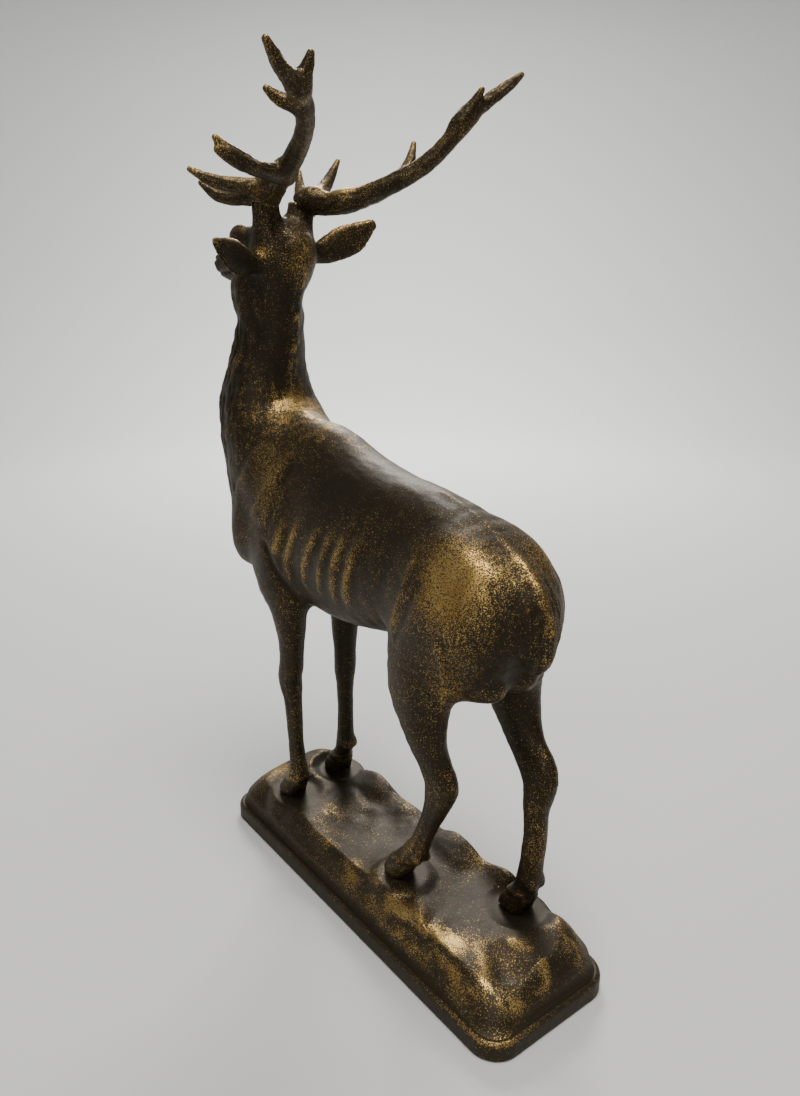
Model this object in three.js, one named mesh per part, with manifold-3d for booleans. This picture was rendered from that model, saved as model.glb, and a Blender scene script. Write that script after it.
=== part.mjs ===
// A cast stag on a rocky base: base, stag and two antlers, in millimetres, +Z up.
// +X is the way the stag faces, +Y is its left, and the origin is the centre of the underside.
import * as THREE from "three";
import { mergeVertices } from "three/addons/utils/BufferGeometryUtils.js";
import Module from "manifold-3d";

const wasm = await Module();
wasm.setup();

// Driving sizes
const WITHERS_HEIGHT = 222;      // hoof soles to the top of the shoulders
const ANTLER_SPREAD = 152;       // across the two outer crown tips
const END_MARGIN = 38;           // base beyond the outermost hoof, front and rear
const SIDE_MARGIN = 20;          // base beyond the hooves, left and right
const PLINTH_HEIGHT = 10.5;      // the smooth moulded foot of the base
const PLINTH_LEDGE = 3.6;        // how far that foot stands out past the rock
const PLINTH_ROUND = 1.3;        // rounding of the foot's lower and upper edges
const ROCK_RISE = 17.5;          // rock above the foot, where the fore hooves stand
const CORNER_RADIUS = 14;        // plan corners of the foot
const SEAT_GAP = 0.3;            // clearance of a hoof on its pad and of an antler on its stump

// The stag's own measure: its places and radii below are read on one 222 units tall at the withers
const UNIT = WITHERS_HEIGHT / 222;
const ANTLER_UNIT = ANTLER_SPREAD / 152;
const GROUND = PLINTH_HEIGHT + ROCK_RISE;

// Fineness of the faceting
const BODY_CELL = 2.3 * UNIT;
const ANTLER_CELL = 1.35 * UNIT;
const STAG_FACES = 5500;
const ANTLER_FACES = 980;
const LIMB_STEPS = 3;

const UP = new THREE.Vector3(0, 0, 1);
const AHEAD = new THREE.Vector3(1, 0, 0);

// Hooves, fore left, fore right, hind left and hind right: sole centre, height of its pad above
// the ground, and which way the toes point (degrees)
const HOOVES = [
  { x: 77, y: 17.5, rise: 0, turn: 4 },
  { x: 82.5, y: -19, rise: 0, turn: -3 },
  { x: -25, y: 14, rise: 3.5, turn: 3 },
  { x: -77.5, y: -19, rise: 0, turn: -3 },
];

// Smooth curve through rows of numbers, a few steps between neighbours
function smoothRows(rows, steps) {
  const width = rows[0].length;
  const out = [];
  for (let i = 0; i < rows.length - 1; i += 1) {
    const a = rows[Math.max(i - 1, 0)];
    const b = rows[i];
    const c = rows[i + 1];
    const d = rows[Math.min(i + 2, rows.length - 1)];
    for (let s = 0; s < steps; s += 1) {
      const t = s / steps;
      const row = [];
      for (let k = 0; k < width; k += 1) {
        const bend = 2 * a[k] - 5 * b[k] + 4 * c[k] - d[k];
        const twist = 3 * (b[k] - c[k]) + d[k] - a[k];
        row.push(b[k] + 0.5 * t * (c[k] - a[k] + t * (bend + t * twist)));
      }
      out.push(row);
    }
  }
  out.push(rows[rows.length - 1].slice());
  return out;
}

// Each solid form is an object with where (bounding sphere) and far(x, y, z), a signed distance

// One stretch of a limb: an oval section that changes between two stations
function stretch(a, b, facing) {
  const [ax, ay, az] = a;
  const dx = b[0] - ax;
  const dy = b[1] - ay;
  const dz = b[2] - az;
  const dd = dx * dx + dy * dy + dz * dz;
  const length = Math.sqrt(dd);
  const tangent = new THREE.Vector3(dx, dy, dz).divideScalar(length);
  const up = facing.clone().addScaledVector(tangent, -facing.dot(tangent)).normalize();
  const side = new THREE.Vector3().crossVectors(tangent, up);
  const widest = Math.max(a[3], a[4], a[5], b[3], b[4], b[5]);
  const far = (x, y, z) => {
    const px = x - ax;
    const py = y - ay;
    const pz = z - az;
    let t = (px * dx + py * dy + pz * dz) / dd;
    t = t < 0 ? 0 : t > 1 ? 1 : t;
    const vx = px - dx * t;
    const vy = py - dy * t;
    const vz = pz - dz * t;
    const s = vx * side.x + vy * side.y + vz * side.z;
    const u = vx * up.x + vy * up.y + vz * up.z;
    const w = vx * tangent.x + vy * tangent.y + vz * tangent.z;
    const rs = a[3] + (b[3] - a[3]) * t;
    const ru = u > 0 ? a[4] + (b[4] - a[4]) * t : a[5] + (b[5] - a[5]) * t;
    return ovalDistance(s, u, w, rs, ru, Math.min(rs, ru));
  };
  const middle = new THREE.Vector3(ax + dx / 2, ay + dy / 2, az + dz / 2);
  const where = new THREE.Sphere(middle, widest + length / 2);
  return { where, far };
}

function ovalDistance(s, u, w, rs, ru, rw) {
  const k0 = Math.sqrt((s / rs) ** 2 + (u / ru) ** 2 + (w / rw) ** 2);
  if (k0 < 1e-6) return -Math.min(rs, ru, rw);
  const k1 = Math.sqrt((s / rs ** 2) ** 2 + (u / ru ** 2) ** 2 + (w / rw ** 2) ** 2);
  return (k0 * (k0 - 1)) / k1;
}

// A limb: rows of x, y, z, half width, radius on the facing side, radius behind it
function limb(rows, { facing = UP, blend = 6 } = {}) {
  const fine = smoothRows(rows, LIMB_STEPS).map((row) => row.map((value) => value * UNIT));
  const parts = [];
  for (let i = 0; i < fine.length - 1; i += 1) parts.push(stretch(fine[i], fine[i + 1], facing));
  return { parts, blend: blend * UNIT };
}

// A round limb: rows of x, y, z, radius
function rod(rows, options) {
  return limb(rows.map(([x, y, z, r]) => [x, y, z, r, r, r]), options);
}

// A muscle: an oval body with its long axis along a heading
function muscle(centre, along, radii, blend) {
  const axis = new THREE.Vector3(...along).normalize();
  const side = new THREE.Vector3().crossVectors(UP, axis).normalize();
  const up = new THREE.Vector3().crossVectors(axis, side);
  const [cx, cy, cz] = centre.map((value) => value * UNIT);
  const [rw, rs, ru] = radii.map((value) => value * UNIT);
  const far = (x, y, z) => {
    const vx = x - cx;
    const vy = y - cy;
    const vz = z - cz;
    const w = vx * axis.x + vy * axis.y + vz * axis.z;
    const s = vx * side.x + vy * side.y + vz * side.z;
    const u = vx * up.x + vy * up.y + vz * up.z;
    return ovalDistance(s, u, w, rs, ru, rw);
  };
  const where = new THREE.Sphere(new THREE.Vector3(cx, cy, cz), Math.max(rw, rs, ru));
  return { parts: [{ where, far }], blend: blend * UNIT };
}

// A raised line on the skin
function ridge(points, width, height) {
  const fine = smoothRows(points, LIMB_STEPS).map((row) => row.map((value) => value * UNIT));
  const reach = width * UNIT;
  const lines = [];
  for (let i = 0; i < fine.length - 1; i += 1) {
    const start = new THREE.Vector3(...fine[i]);
    const step = new THREE.Vector3(...fine[i + 1]).sub(start);
    const middle = start.clone().addScaledVector(step, 0.5);
    const where = new THREE.Sphere(middle, step.length() / 2 + 2.6 * reach);
    lines.push({ start, step, dd: step.lengthSq(), where });
  }
  const lift = (x, y, z) => {
    let nearest = Infinity;
    for (const { start, step, dd } of lines) {
      const px = x - start.x;
      const py = y - start.y;
      const pz = z - start.z;
      let t = (px * step.x + py * step.y + pz * step.z) / dd;
      t = t < 0 ? 0 : t > 1 ? 1 : t;
      const q = (px - step.x * t) ** 2 + (py - step.y * t) ** 2 + (pz - step.z * t) ** 2;
      if (q < nearest) nearest = q;
    }
    return height * UNIT * Math.exp(-nearest / reach ** 2);
  };
  return { spheres: lines.map((line) => line.where), lift };
}

function softMin(a, b, k) {
  const h = Math.max(k - Math.abs(a - b), 0) / k;
  return Math.min(a, b) - (h * h * k) / 4;
}

const NOWHERE = 1e4;

// The distance to a whole form, from the parts that can matter near one place
function localField(form, centre, reach) {
  const near = [];
  for (const { parts, blend } of form.limbs) {
    const kept = parts.filter(({ where }) => where.center.distanceTo(centre) - where.radius < reach + blend);
    if (kept.length > 0) near.push({ kept, blend });
  }
  const lifts = form.ridges.filter(({ spheres }) =>
    spheres.some((sphere) => sphere.center.distanceTo(centre) < sphere.radius + reach));
  return (x, y, z) => {
    let total = NOWHERE;
    for (const { kept, blend } of near) {
      let d = NOWHERE;
      for (const part of kept) d = Math.min(d, part.far(x, y, z));
      total = total === NOWHERE ? d : softMin(total, d, blend);
    }
    for (const { lift } of lifts) total -= lift(x, y, z);
    return total;
  };
}

// The corners of a cube, and its six tetrahedra as walks from corner 0 to corner 7
const CORNERS = [0, 1, 2, 3, 4, 5, 6, 7].map((corner) => [corner & 1, (corner >> 1) & 1, (corner >> 2) & 1]);
const WALKS = [[1, 3], [1, 5], [2, 3], [2, 6], [4, 5], [4, 6]];

// A closed skin of triangles where the form's distance is zero
function skin(form, cell) {
  const box = new THREE.Box3();
  for (const { parts } of form.limbs) {
    for (const { where } of parts) box.union(where.getBoundingBox(new THREE.Box3()));
  }
  box.expandByScalar(2 * cell);
  const block = 4;
  const size = box.getSize(new THREE.Vector3()).divideScalar(cell * block);
  const counts = [Math.ceil(size.x), Math.ceil(size.y), Math.ceil(size.z)];
  const nx = counts[0] * block + 1;
  const ny = counts[1] * block + 1;
  const values = new Float32Array(nx * ny * (counts[2] * block + 1)).fill(NaN);
  const hop = [1, nx, nx * ny];
  const offsets = CORNERS.map(([i, j, k]) => i * hop[0] + j * hop[1] + k * hop[2]);
  const at = (i, j, k) => i * hop[0] + j * hop[1] + k * hop[2];
  const place = (i, j, k) => [box.min.x + i * cell, box.min.y + j * cell, box.min.z + k * cell];
  const placeOf = (index) => place(index % nx, Math.floor(index / nx) % ny, Math.floor(index / hop[2]));
  const radius = (cell * block * Math.sqrt(3)) / 2;
  const positions = [];
  const faces = [];
  const made = new Map();
  const crossing = (a, b) => {
    const [from, to] = a < b ? [a, b] : [b, a];
    const key = from * 8 + offsets.indexOf(to - from);
    let vertex = made.get(key);
    if (vertex === undefined) {
      const t = THREE.MathUtils.clamp(values[from] / (values[from] - values[to]), 0.02, 0.98);
      const start = placeOf(from);
      const end = placeOf(to);
      vertex = positions.length / 3;
      for (let n = 0; n < 3; n += 1) positions.push(start[n] + (end[n] - start[n]) * t);
      made.set(key, vertex);
    }
    return vertex;
  };
  const fillBlock = (i0, j0, k0) => {
    const middle = new THREE.Vector3(...place(i0 + block / 2, j0 + block / 2, k0 + block / 2));
    const start = localField(form, middle, 2.5 * radius)(middle.x, middle.y, middle.z);
    if (Math.abs(start) > 2 * radius) return false;
    const field = localField(form, middle, Math.max(start, 0) + 2 * radius);
    for (let k = k0; k <= k0 + block; k += 1) {
      for (let j = j0; j <= j0 + block; j += 1) {
        for (let i = i0; i <= i0 + block; i += 1) {
          const index = at(i, j, k);
          if (Number.isNaN(values[index])) values[index] = field(...place(i, j, k)) || 1e-6;
        }
      }
    }
    return true;
  };
  const sliceCell = (first) => {
    let inside = 0;
    for (const offset of offsets) inside += values[first + offset] < 0 ? 1 : 0;
    if (inside === 0 || inside === 8) return;
    for (const [one, two] of WALKS) {
      const corners = [first, first + offsets[one], first + offsets[two], first + offsets[7]];
      sliceTetrahedron(corners, values, crossing, placeOf, positions, faces);
    }
  };
  for (let k0 = 0; k0 < counts[2] * block; k0 += block) {
    for (let j0 = 0; j0 < counts[1] * block; j0 += block) {
      for (let i0 = 0; i0 < counts[0] * block; i0 += block) {
        if (!fillBlock(i0, j0, k0)) continue;
        for (let n = 0; n < block ** 3; n += 1) {
          const [i, j, k] = [n % block, Math.floor(n / block) % block, Math.floor(n / block ** 2)];
          sliceCell(at(i0 + i, j0 + j, k0 + k));
        }
      }
    }
  }
  return { positions, faces };
}

// The one or two triangles where the surface passes through a tetrahedron
function sliceTetrahedron(corners, values, crossing, placeOf, positions, faces) {
  const inner = corners.filter((corner) => values[corner] < 0);
  const outer = corners.filter((corner) => !(values[corner] < 0));
  if (inner.length === 0 || outer.length === 0) return;
  let ring;
  if (inner.length === 1) ring = outer.map((corner) => crossing(inner[0], corner));
  else if (outer.length === 1) ring = inner.map((corner) => crossing(corner, outer[0]));
  else {
    ring = [crossing(inner[0], outer[0]), crossing(inner[0], outer[1])];
    ring.push(crossing(inner[1], outer[1]), crossing(inner[1], outer[0]));
  }
  const [nx, ny, nz] = faceNormal(positions, ring[0], ring[1], ring[2]);
  const from = placeOf(inner[0]);
  const to = placeOf(outer[0]);
  if (nx * (to[0] - from[0]) + ny * (to[1] - from[1]) + nz * (to[2] - from[2]) < 0) ring.reverse();
  faces.push([ring[0], ring[1], ring[2]]);
  if (ring.length === 4) faces.push([ring[0], ring[2], ring[3]]);
}

function faceNormal(place, a, b, c) {
  const ux = place[3 * b] - place[3 * a];
  const uy = place[3 * b + 1] - place[3 * a + 1];
  const uz = place[3 * b + 2] - place[3 * a + 2];
  const vx = place[3 * c] - place[3 * a];
  const vy = place[3 * c + 1] - place[3 * a + 1];
  const vz = place[3 * c + 2] - place[3 * a + 2];
  return [uy * vz - uz * vy, uz * vx - ux * vz, ux * vy - uy * vx];
}

// Fewer triangles for the same form: the edge whose loss moves the surface least goes first
function thin({ positions, faces }, target) {
  const place = Float64Array.from(positions);
  const count = place.length / 3;
  const around = Array.from({ length: count }, () => []);
  faces.forEach((face, f) => face.forEach((v) => around[v].push(f)));
  const alive = new Uint8Array(faces.length).fill(1);
  const quadrics = new Float64Array(count * 10);
  for (const face of faces) {
    const normal = faceNormal(place, ...face);
    const area = Math.hypot(...normal);
    if (area < 1e-12) continue;
    const [a, b, c] = normal.map((value) => value / area);
    const d = -(a * place[3 * face[0]] + b * place[3 * face[0] + 1] + c * place[3 * face[0] + 2]);
    const terms = [a * a, a * b, a * c, a * d, b * b, b * c, b * d, c * c, c * d, d * d];
    for (const v of face) terms.forEach((term, n) => { quadrics[10 * v + n] += term * area; });
  }
  const error = (q, [x, y, z]) => q[0] * x * x + 2 * q[1] * x * y + 2 * q[2] * x * z + 2 * q[3] * x
    + q[4] * y * y + 2 * q[5] * y * z + 2 * q[6] * y + q[7] * z * z + 2 * q[8] * z + q[9];
  const pointOf = (v) => [place[3 * v], place[3 * v + 1], place[3 * v + 2]];
  const best = (u, v) => {
    const q = new Array(10);
    for (let n = 0; n < 10; n += 1) q[n] = quadrics[10 * u + n] + quadrics[10 * v + n];
    const a = pointOf(u);
    const b = pointOf(v);
    const length = Math.hypot(a[0] - b[0], a[1] - b[1], a[2] - b[2]);
    const middle = [(a[0] + b[0]) / 2, (a[1] + b[1]) / 2, (a[2] + b[2]) / 2];
    let spot = middle;
    const c00 = q[4] * q[7] - q[5] * q[5];
    const c01 = q[2] * q[5] - q[1] * q[7];
    const c02 = q[1] * q[5] - q[2] * q[4];
    const det = q[0] * c00 + q[1] * c01 + q[2] * c02;
    const size = q[0] + q[4] + q[7];
    if (Math.abs(det) > 1e-4 * size ** 3) {
      const c11 = q[0] * q[7] - q[2] * q[2];
      const c12 = q[1] * q[2] - q[0] * q[5];
      const c22 = q[0] * q[4] - q[1] * q[1];
      const solved = [
        -(c00 * q[3] + c01 * q[6] + c02 * q[8]) / det,
        -(c01 * q[3] + c11 * q[6] + c12 * q[8]) / det,
        -(c02 * q[3] + c12 * q[6] + c22 * q[8]) / det,
      ];
      const off = Math.hypot(solved[0] - middle[0], solved[1] - middle[1], solved[2] - middle[2]);
      if (off < length) spot = solved;
    }
    return { spot, cost: error(q, spot) + 1e-3 * length ** 4 };
  };
  const version = new Int32Array(count);
  const heap = [];
  const swap = (i, j) => { [heap[i], heap[j]] = [heap[j], heap[i]]; };
  const push = (item) => {
    heap.push(item);
    let i = heap.length - 1;
    while (i > 0 && heap[(i - 1) >> 1].cost > heap[i].cost) {
      swap(i, (i - 1) >> 1);
      i = (i - 1) >> 1;
    }
  };
  const pop = () => {
    const top = heap[0];
    const last = heap.pop();
    if (heap.length > 0) {
      heap[0] = last;
      for (let i = 0; ;) {
        let least = i;
        for (const child of [2 * i + 1, 2 * i + 2]) {
          if (child < heap.length && heap[child].cost < heap[least].cost) least = child;
        }
        if (least === i) break;
        swap(i, least);
        i = least;
      }
    }
    return top;
  };
  const neighbours = (v) => {
    const found = new Set();
    for (const f of around[v]) for (const w of faces[f]) if (w !== v) found.add(w);
    return found;
  };
  const queue = (u, v) => {
    const { spot, cost } = best(u, v);
    push({ cost, spot, u, v, stamp: version[u] + version[v] });
  };
  for (const [a, b, c] of faces) {
    if (a < b) queue(a, b);
    if (b < c) queue(b, c);
    if (c < a) queue(c, a);
  }
  let left = faces.length;
  while (left > target && heap.length > 0) {
    const { spot, u, v, stamp } = pop();
    if (around[u].length === 0 || around[v].length === 0 || stamp !== version[u] + version[v]) continue;
    const ringU = neighbours(u);
    const ringV = neighbours(v);
    let shared = 0;
    for (const w of ringV) if (ringU.has(w)) shared += 1;
    if (shared !== 2 || ringU.size + ringV.size < 7) continue;
    const flips = (f, end) => {
      const face = faces[f];
      if (face.includes(u) && face.includes(v)) return false;
      const before = faceNormal(place, ...face);
      const kept = pointOf(end);
      place.set(spot, 3 * end);
      const after = faceNormal(place, ...face);
      place.set(kept, 3 * end);
      const size = Math.hypot(...before) * Math.hypot(...after);
      return before[0] * after[0] + before[1] * after[1] + before[2] * after[2] < 0.3 * size + 1e-9;
    };
    if (around[u].some((f) => flips(f, u)) || around[v].some((f) => flips(f, v))) continue;
    place.set(spot, 3 * u);
    for (let n = 0; n < 10; n += 1) quadrics[10 * u + n] += quadrics[10 * v + n];
    for (const f of around[v]) {
      if (faces[f].includes(u)) {
        alive[f] = 0;
        left -= 1;
        for (const w of faces[f]) if (w !== v) around[w] = around[w].filter((g) => g !== f);
      } else {
        faces[f] = faces[f].map((w) => (w === v ? u : w));
        around[u].push(f);
      }
    }
    around[v] = [];
    version[u] += 1;
    for (const w of neighbours(u)) queue(u, w);
  }
  return { positions: Array.from(place), faces: faces.filter((_, f) => alive[f] === 1) };
}

// Meshes and solids
function solidOf(geometry) {
  const bare = geometry.clone();
  bare.deleteAttribute("normal");
  bare.deleteAttribute("uv");
  const merged = mergeVertices(bare.index ? bare.toNonIndexed() : bare, 1e-5);
  const mesh = new wasm.Mesh({
    numProp: 3,
    vertProperties: new Float32Array(merged.attributes.position.array),
    triVerts: new Uint32Array(merged.index.array),
  });
  return new wasm.Manifold(mesh);
}

function geometryFrom(positions, faces) {
  const geometry = new THREE.BufferGeometry();
  geometry.setAttribute("position", new THREE.Float32BufferAttribute(positions, 3));
  geometry.setIndex(faces.flat());
  return geometry;
}

function geometryOf(solid) {
  const mesh = solid.getMesh();
  const geometry = new THREE.BufferGeometry();
  geometry.setAttribute("position", new THREE.Float32BufferAttribute(mesh.vertProperties, 3));
  geometry.setIndex(Array.from(mesh.triVerts));
  return geometry;
}

function cast(form, cell, faceCount) {
  const { positions, faces } = thin(skin(form, cell), faceCount);
  return solidOf(geometryFrom(positions, faces));
}

// A cutting block whose +Z face lies on a plane
function block(centre, normal, size) {
  const geometry = new THREE.BoxGeometry(size, size, size).translate(0, 0, -size / 2);
  geometry.applyQuaternion(new THREE.Quaternion().setFromUnitVectors(UP, normal));
  geometry.translate(centre.x, centre.y, centre.z);
  return solidOf(geometry);
}

// The head's own frames: turned a little to the left, and leaning to that side
const HEAD_PIVOT = new THREE.Vector3(90, 0, 312);
const HEAD_TURN = THREE.MathUtils.degToRad(9);
const FACE_TURN = THREE.MathUtils.degToRad(5);
const HEAD_LEAN = THREE.MathUtils.degToRad(5);
const NOSE_DROP = THREE.MathUtils.degToRad(4.5);
const lean = new THREE.Matrix4().makeRotationX(-HEAD_LEAN);
const turnFrame = new THREE.Matrix4().makeRotationZ(HEAD_TURN);
const headFrame = turnFrame.clone().multiply(lean);
const faceFrame = new THREE.Matrix4().makeRotationZ(FACE_TURN).multiply(lean);
faceFrame.multiply(new THREE.Matrix4().makeRotationY(NOSE_DROP));

function inFrame(frame, rows) {
  return rows.map(([x, y, z, ...rest]) => {
    const point = new THREE.Vector3(x, y, z).applyMatrix4(frame).add(HEAD_PIVOT);
    return [point.x, point.y, point.z, ...rest];
  });
}
const onHead = (rows) => inFrame(headFrame, rows);
const onFace = (rows) => inFrame(faceFrame, rows);
const headUp = UP.clone().applyMatrix4(headFrame);
const faceUp = UP.clone().applyMatrix4(faceFrame);

// Trunk, from the rump to the breast
function trunk() {
  return limb([
    [-90, 0, 153, 12, 18, 13],
    [-84, 0, 157, 19.5, 25, 18],
    [-70, 0, 161, 25.5, 31, 30],
    [-52, 0, 163, 27.5, 37.5, 34],
    [-28, 0, 165, 27, 41, 32],
    [0, 0, 165, 29.5, 44.2, 38],
    [30, 0, 165, 30.5, 50.5, 43.5],
    [58, 0, 167, 30, 57.5, 44.5],
    [82, 0, 171, 28, 52, 42],
    [104, 0, 179, 25, 40, 36],
    [114, 0, 185, 19, 28, 29],
  ], 10);
}

function neckAndHead() {
  const neck = limb([
    [84, 0, 180, 27, 46, 36],
    [96, 1, 197, 31, 48, 31.5],
    [104, 2, 213, 29.5, 46, 25],
    [108, 3.5, 228, 26, 40, 19],
    [109.5, 3.5, 248, 20.5, 30, 18.5],
    [108, 3, 270, 16.5, 21, 21.5],
    [105, 3, 286, 15.5, 19, 20.5],
    [100, 2, 300, 14, 17, 18],
    [96, 1, 309, 11, 12, 13.5],
  ], { facing: AHEAD, blend: 14 });
  const skull = limb(onFace([
    [1, 0, -2, 14, 12, 14],
    [9, 0, 0, 14.5, 14, 16],
    [20, 0, 1, 15, 13.5, 16],
    [33, 0, 0, 12, 11, 14.5],
    [45, 0, -1, 9, 9, 11],
    [55, 0, -2, 8, 8, 8.5],
    [62, 0, -3, 7.4, 6.5, 7],
  ]), { facing: faceUp, blend: 9 });
  const brows = [1, -1].map((s) => muscle(
    onFace([[28, s * 11, 9]])[0], [1, 0.1 * s, -0.2], [8, 5.5, 6.5], 4));
  const cheeks = [1, -1].map((s) => muscle(onFace([[14, s * 9.5, -8]])[0], [1, 0, 0.2], [11, 5.5, 9], 6));
  const throat = muscle([111, 10.5, 290], [0.2, 0, 1], [14, 11.5, 12.5], 8);
  const nostrils = [1, -1].map((s) => muscle(
    onFace([[63, s * 4.6, 0]])[0], [1, 0.3 * s, 0], [4, 2.6, 3.6], 3));
  const chin = muscle(onFace([[55, 0, -8.5]])[0], [1, 0, 0], [7, 5, 4], 4);
  return [neck, skull, ...brows, ...cheeks, throat, ...nostrils, chin];
}

const EAR_LENGTH = 53;
const RIGHT_EAR_LIFT = 3;

// The right ear is held a little higher than the left
function ear(s) {
  const lift = s < 0 ? RIGHT_EAR_LIFT : 0;
  const rows = [
    [3, 11, -4, 5, 5, 5],
    [4.5, 19, -5.5, 4, 4.4, 5],
    [3, 27, -4.2, 3.4, 6.2, 8],
    [-1, 36.5, -0.8, 3, 7.4, 10],
    [-5.5, 45, 3.2, 2.7, 5, 9.5],
    [-9, 53, 6.2, 2.2, 2.4, 4],
  ];
  const held = rows.map(([ahead, out, up, ...r]) => [ahead, s * out, up + (lift * out) / EAR_LENGTH, ...r]);
  return limb(onHead(held), { facing: headUp, blend: 5 });
}

function stump(s) {
  return rod(inFrame(turnFrame, [
    [5, s * 9.5, 3, 8.4], [4, s * 11, 12, 7.4], [3, s * 12.5, 26, 6.5]]), { blend: 6 });
}

// Legs: rows of x, y, z, half width, radius ahead, radius behind
const FORE_LEFT = [
  [78, 15, 172, 14, 27, 26], [73, 20, 142, 13, 25, 20], [69, 21, 124, 10, 15, 13],
  [69, 20, 104, 7.4, 9, 9], [72, 19, 88, 6.6, 7.6, 8], [75, 18.5, 77, 6.8, 8.6, 7.5],
  [74.5, 18, 70, 6.2, 7.2, 6.8], [73.5, 18, 63, 5.2, 5.6, 6], [73, 18, 45, 4.7, 5, 5.6],
  [72, 17.5, 25, 4.7, 5, 5.8], [71.5, 17.5, 14.5, 5.6, 5.8, 6.4], [74, 17.5, 7, 5.4, 5.4, 5.6],
];
const FORE_RIGHT = [
  [79, -15, 172, 14, 27, 26], [76, -20, 142, 13, 22, 20], [77, -22, 118, 9.5, 12.5, 12],
  [75, -20, 92, 7, 7.4, 7.6], [73, -18.5, 74, 6.4, 7.4, 6.6], [72.8, -18, 64, 5.2, 5.6, 5.8],
  [73, -18, 46, 4.7, 5, 5.6], [73.6, -18, 29, 5.2, 5.8, 6.4], [74.5, -18.5, 23, 5.6, 6, 6.6],
  [78, -19, 14, 5, 5, 5.2], [80.5, -19, 7, 5.4, 5.4, 5.6],
];
const HIND_LEFT = [
  [-62, 12, 164, 15, 34, 26], [-52, 17, 140, 13.5, 28, 24], [-50, 21, 118, 11, 22, 17],
  [-54, 22, 98, 8.4, 12, 11.5], [-57, 20, 86, 7, 9, 9.5], [-60, 18.5, 76, 6.6, 8.5, 10.8],
  [-59, 17.5, 68, 6.2, 8, 8], [-54.5, 16.5, 57, 5.4, 6.4, 6.2], [-47.6, 15.5, 43, 4.8, 5.2, 5.4],
  [-41.5, 15, 30, 4.9, 5.4, 6], [-37, 14.5, 23, 5.6, 6, 6.4], [-31, 14, 15, 5.4, 5.8, 5.6],
  [-27, 14, 9, 5.6, 6, 5.6],
];
const HIND_RIGHT = [
  [-66, -12, 164, 15, 34, 26], [-62, -18, 140, 13.5, 27, 24], [-62, -23, 118, 11, 20, 17],
  [-68, -23, 100, 9, 12, 12], [-76, -21, 89, 7.2, 9, 9.5], [-85, -19.5, 78, 6.6, 9, 11.6],
  [-87, -19, 69, 6.2, 8.4, 8], [-86, -19, 60, 5.6, 6.6, 6.4], [-86, -19, 45, 5.2, 5.6, 6],
  [-84.5, -19, 30, 5.4, 5.8, 6.2], [-83.5, -19, 21, 5.8, 6.2, 6.8], [-81, -19, 13, 5.2, 5.4, 5.6],
  [-79, -19, 7, 5.6, 5.8, 5.8],
];

function leg(rows) {
  return limb(rows, { facing: AHEAD, blend: 9 });
}

// Two toes that spread ahead of the pastern, and the two small claws behind the fetlock
function hoof({ x, y, rise, turn }, fetlock) {
  const heading = THREE.MathUtils.degToRad(turn);
  const forms = [];
  for (const s of [1, -1]) {
    const toe = (ahead, out, z, r) => [
      x + ahead * Math.cos(heading) - s * out * Math.sin(heading),
      y + ahead * Math.sin(heading) + s * out * Math.cos(heading), z + rise, ...r];
    forms.push(limb([
      toe(-4.5, 2.6, 11, [3.8, 5, 5]), toe(-0.5, 3.3, 6, [4, 6.2, 6]), toe(1.5, 3.7, 1, [4.2, 7.4, 6.6]),
      toe(1.8, 3.8, -3, [4.2, 7.6, 6.6]),
    ], { facing: AHEAD, blend: 2.4 }));
    const claw = [fetlock[0] - 5.2, fetlock[1] + s * 3.4, fetlock[2] - 1.5];
    forms.push(muscle(claw, [-0.5, 0, -1], [3.2, 2, 2.1], 2));
  }
  return forms;
}

// Muscles and hollows that show from a step away
function muscles() {
  const both = (make) => [1, -1].flatMap(make);
  return both((s) => [
    muscle([-63, s * 14, 160], [1, 0, 0.15], [32, 15.5, 32], 9),
    muscle([76, s * 18, 178], [0.5, 0, 1], [34, 13, 21], 8),
    muscle([105, s * 17.5, 160], [1, 0, 0.2], [16, 16, 24], 10),
    muscle([74, s * 19, 146], [0.3, 0, 1], [20, 10, 17], 8),
    muscle([-57, s * 9, 141], [1, 0, 0], [24, 9, 11], 8),
  ]);
}

function ribs() {
  const found = [];
  for (const s of [1, -1]) {
    for (let n = 0; n < 6; n += 1) {
      const x = 46 - 10 * n;
      found.push(ridge([
        [x + 3, s * 25, 186 - 2 * n], [x, s * 30, 168], [x - 3, s * 29, 150], [x - 5, s * 25, 137 + 2 * n],
      ], 3, 1));
    }
  }
  return found;
}

function tail() {
  return limb([
    [-84, 0, 181, 6, 5, 5], [-95, 0, 173, 7, 5, 5], [-101, 0, 160, 7.4, 5, 5],
    [-101.5, 0, 148, 6.4, 4.6, 4.6], [-99.5, 0, 139, 3.6, 3.6, 3.6],
  ], { facing: AHEAD, blend: 4 });
}

function stagForm() {
  const fetlocks = [[72, 17.5, 15], [74, -18.3, 25], [-38, 14.5, 23.5], [-84, -19, 21.5]];
  const limbs = [trunk(), ...neckAndHead(), ...muscles()];
  for (const rows of [FORE_LEFT, FORE_RIGHT, HIND_LEFT, HIND_RIGHT]) limbs.push(leg(rows));
  HOOVES.forEach((spot, n) => limbs.push(...hoof(spot, fetlocks[n])));
  for (const s of [1, -1]) limbs.push(ear(s), stump(s));
  limbs.push(tail());
  return { limbs, ridges: ribs() };
}

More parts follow.
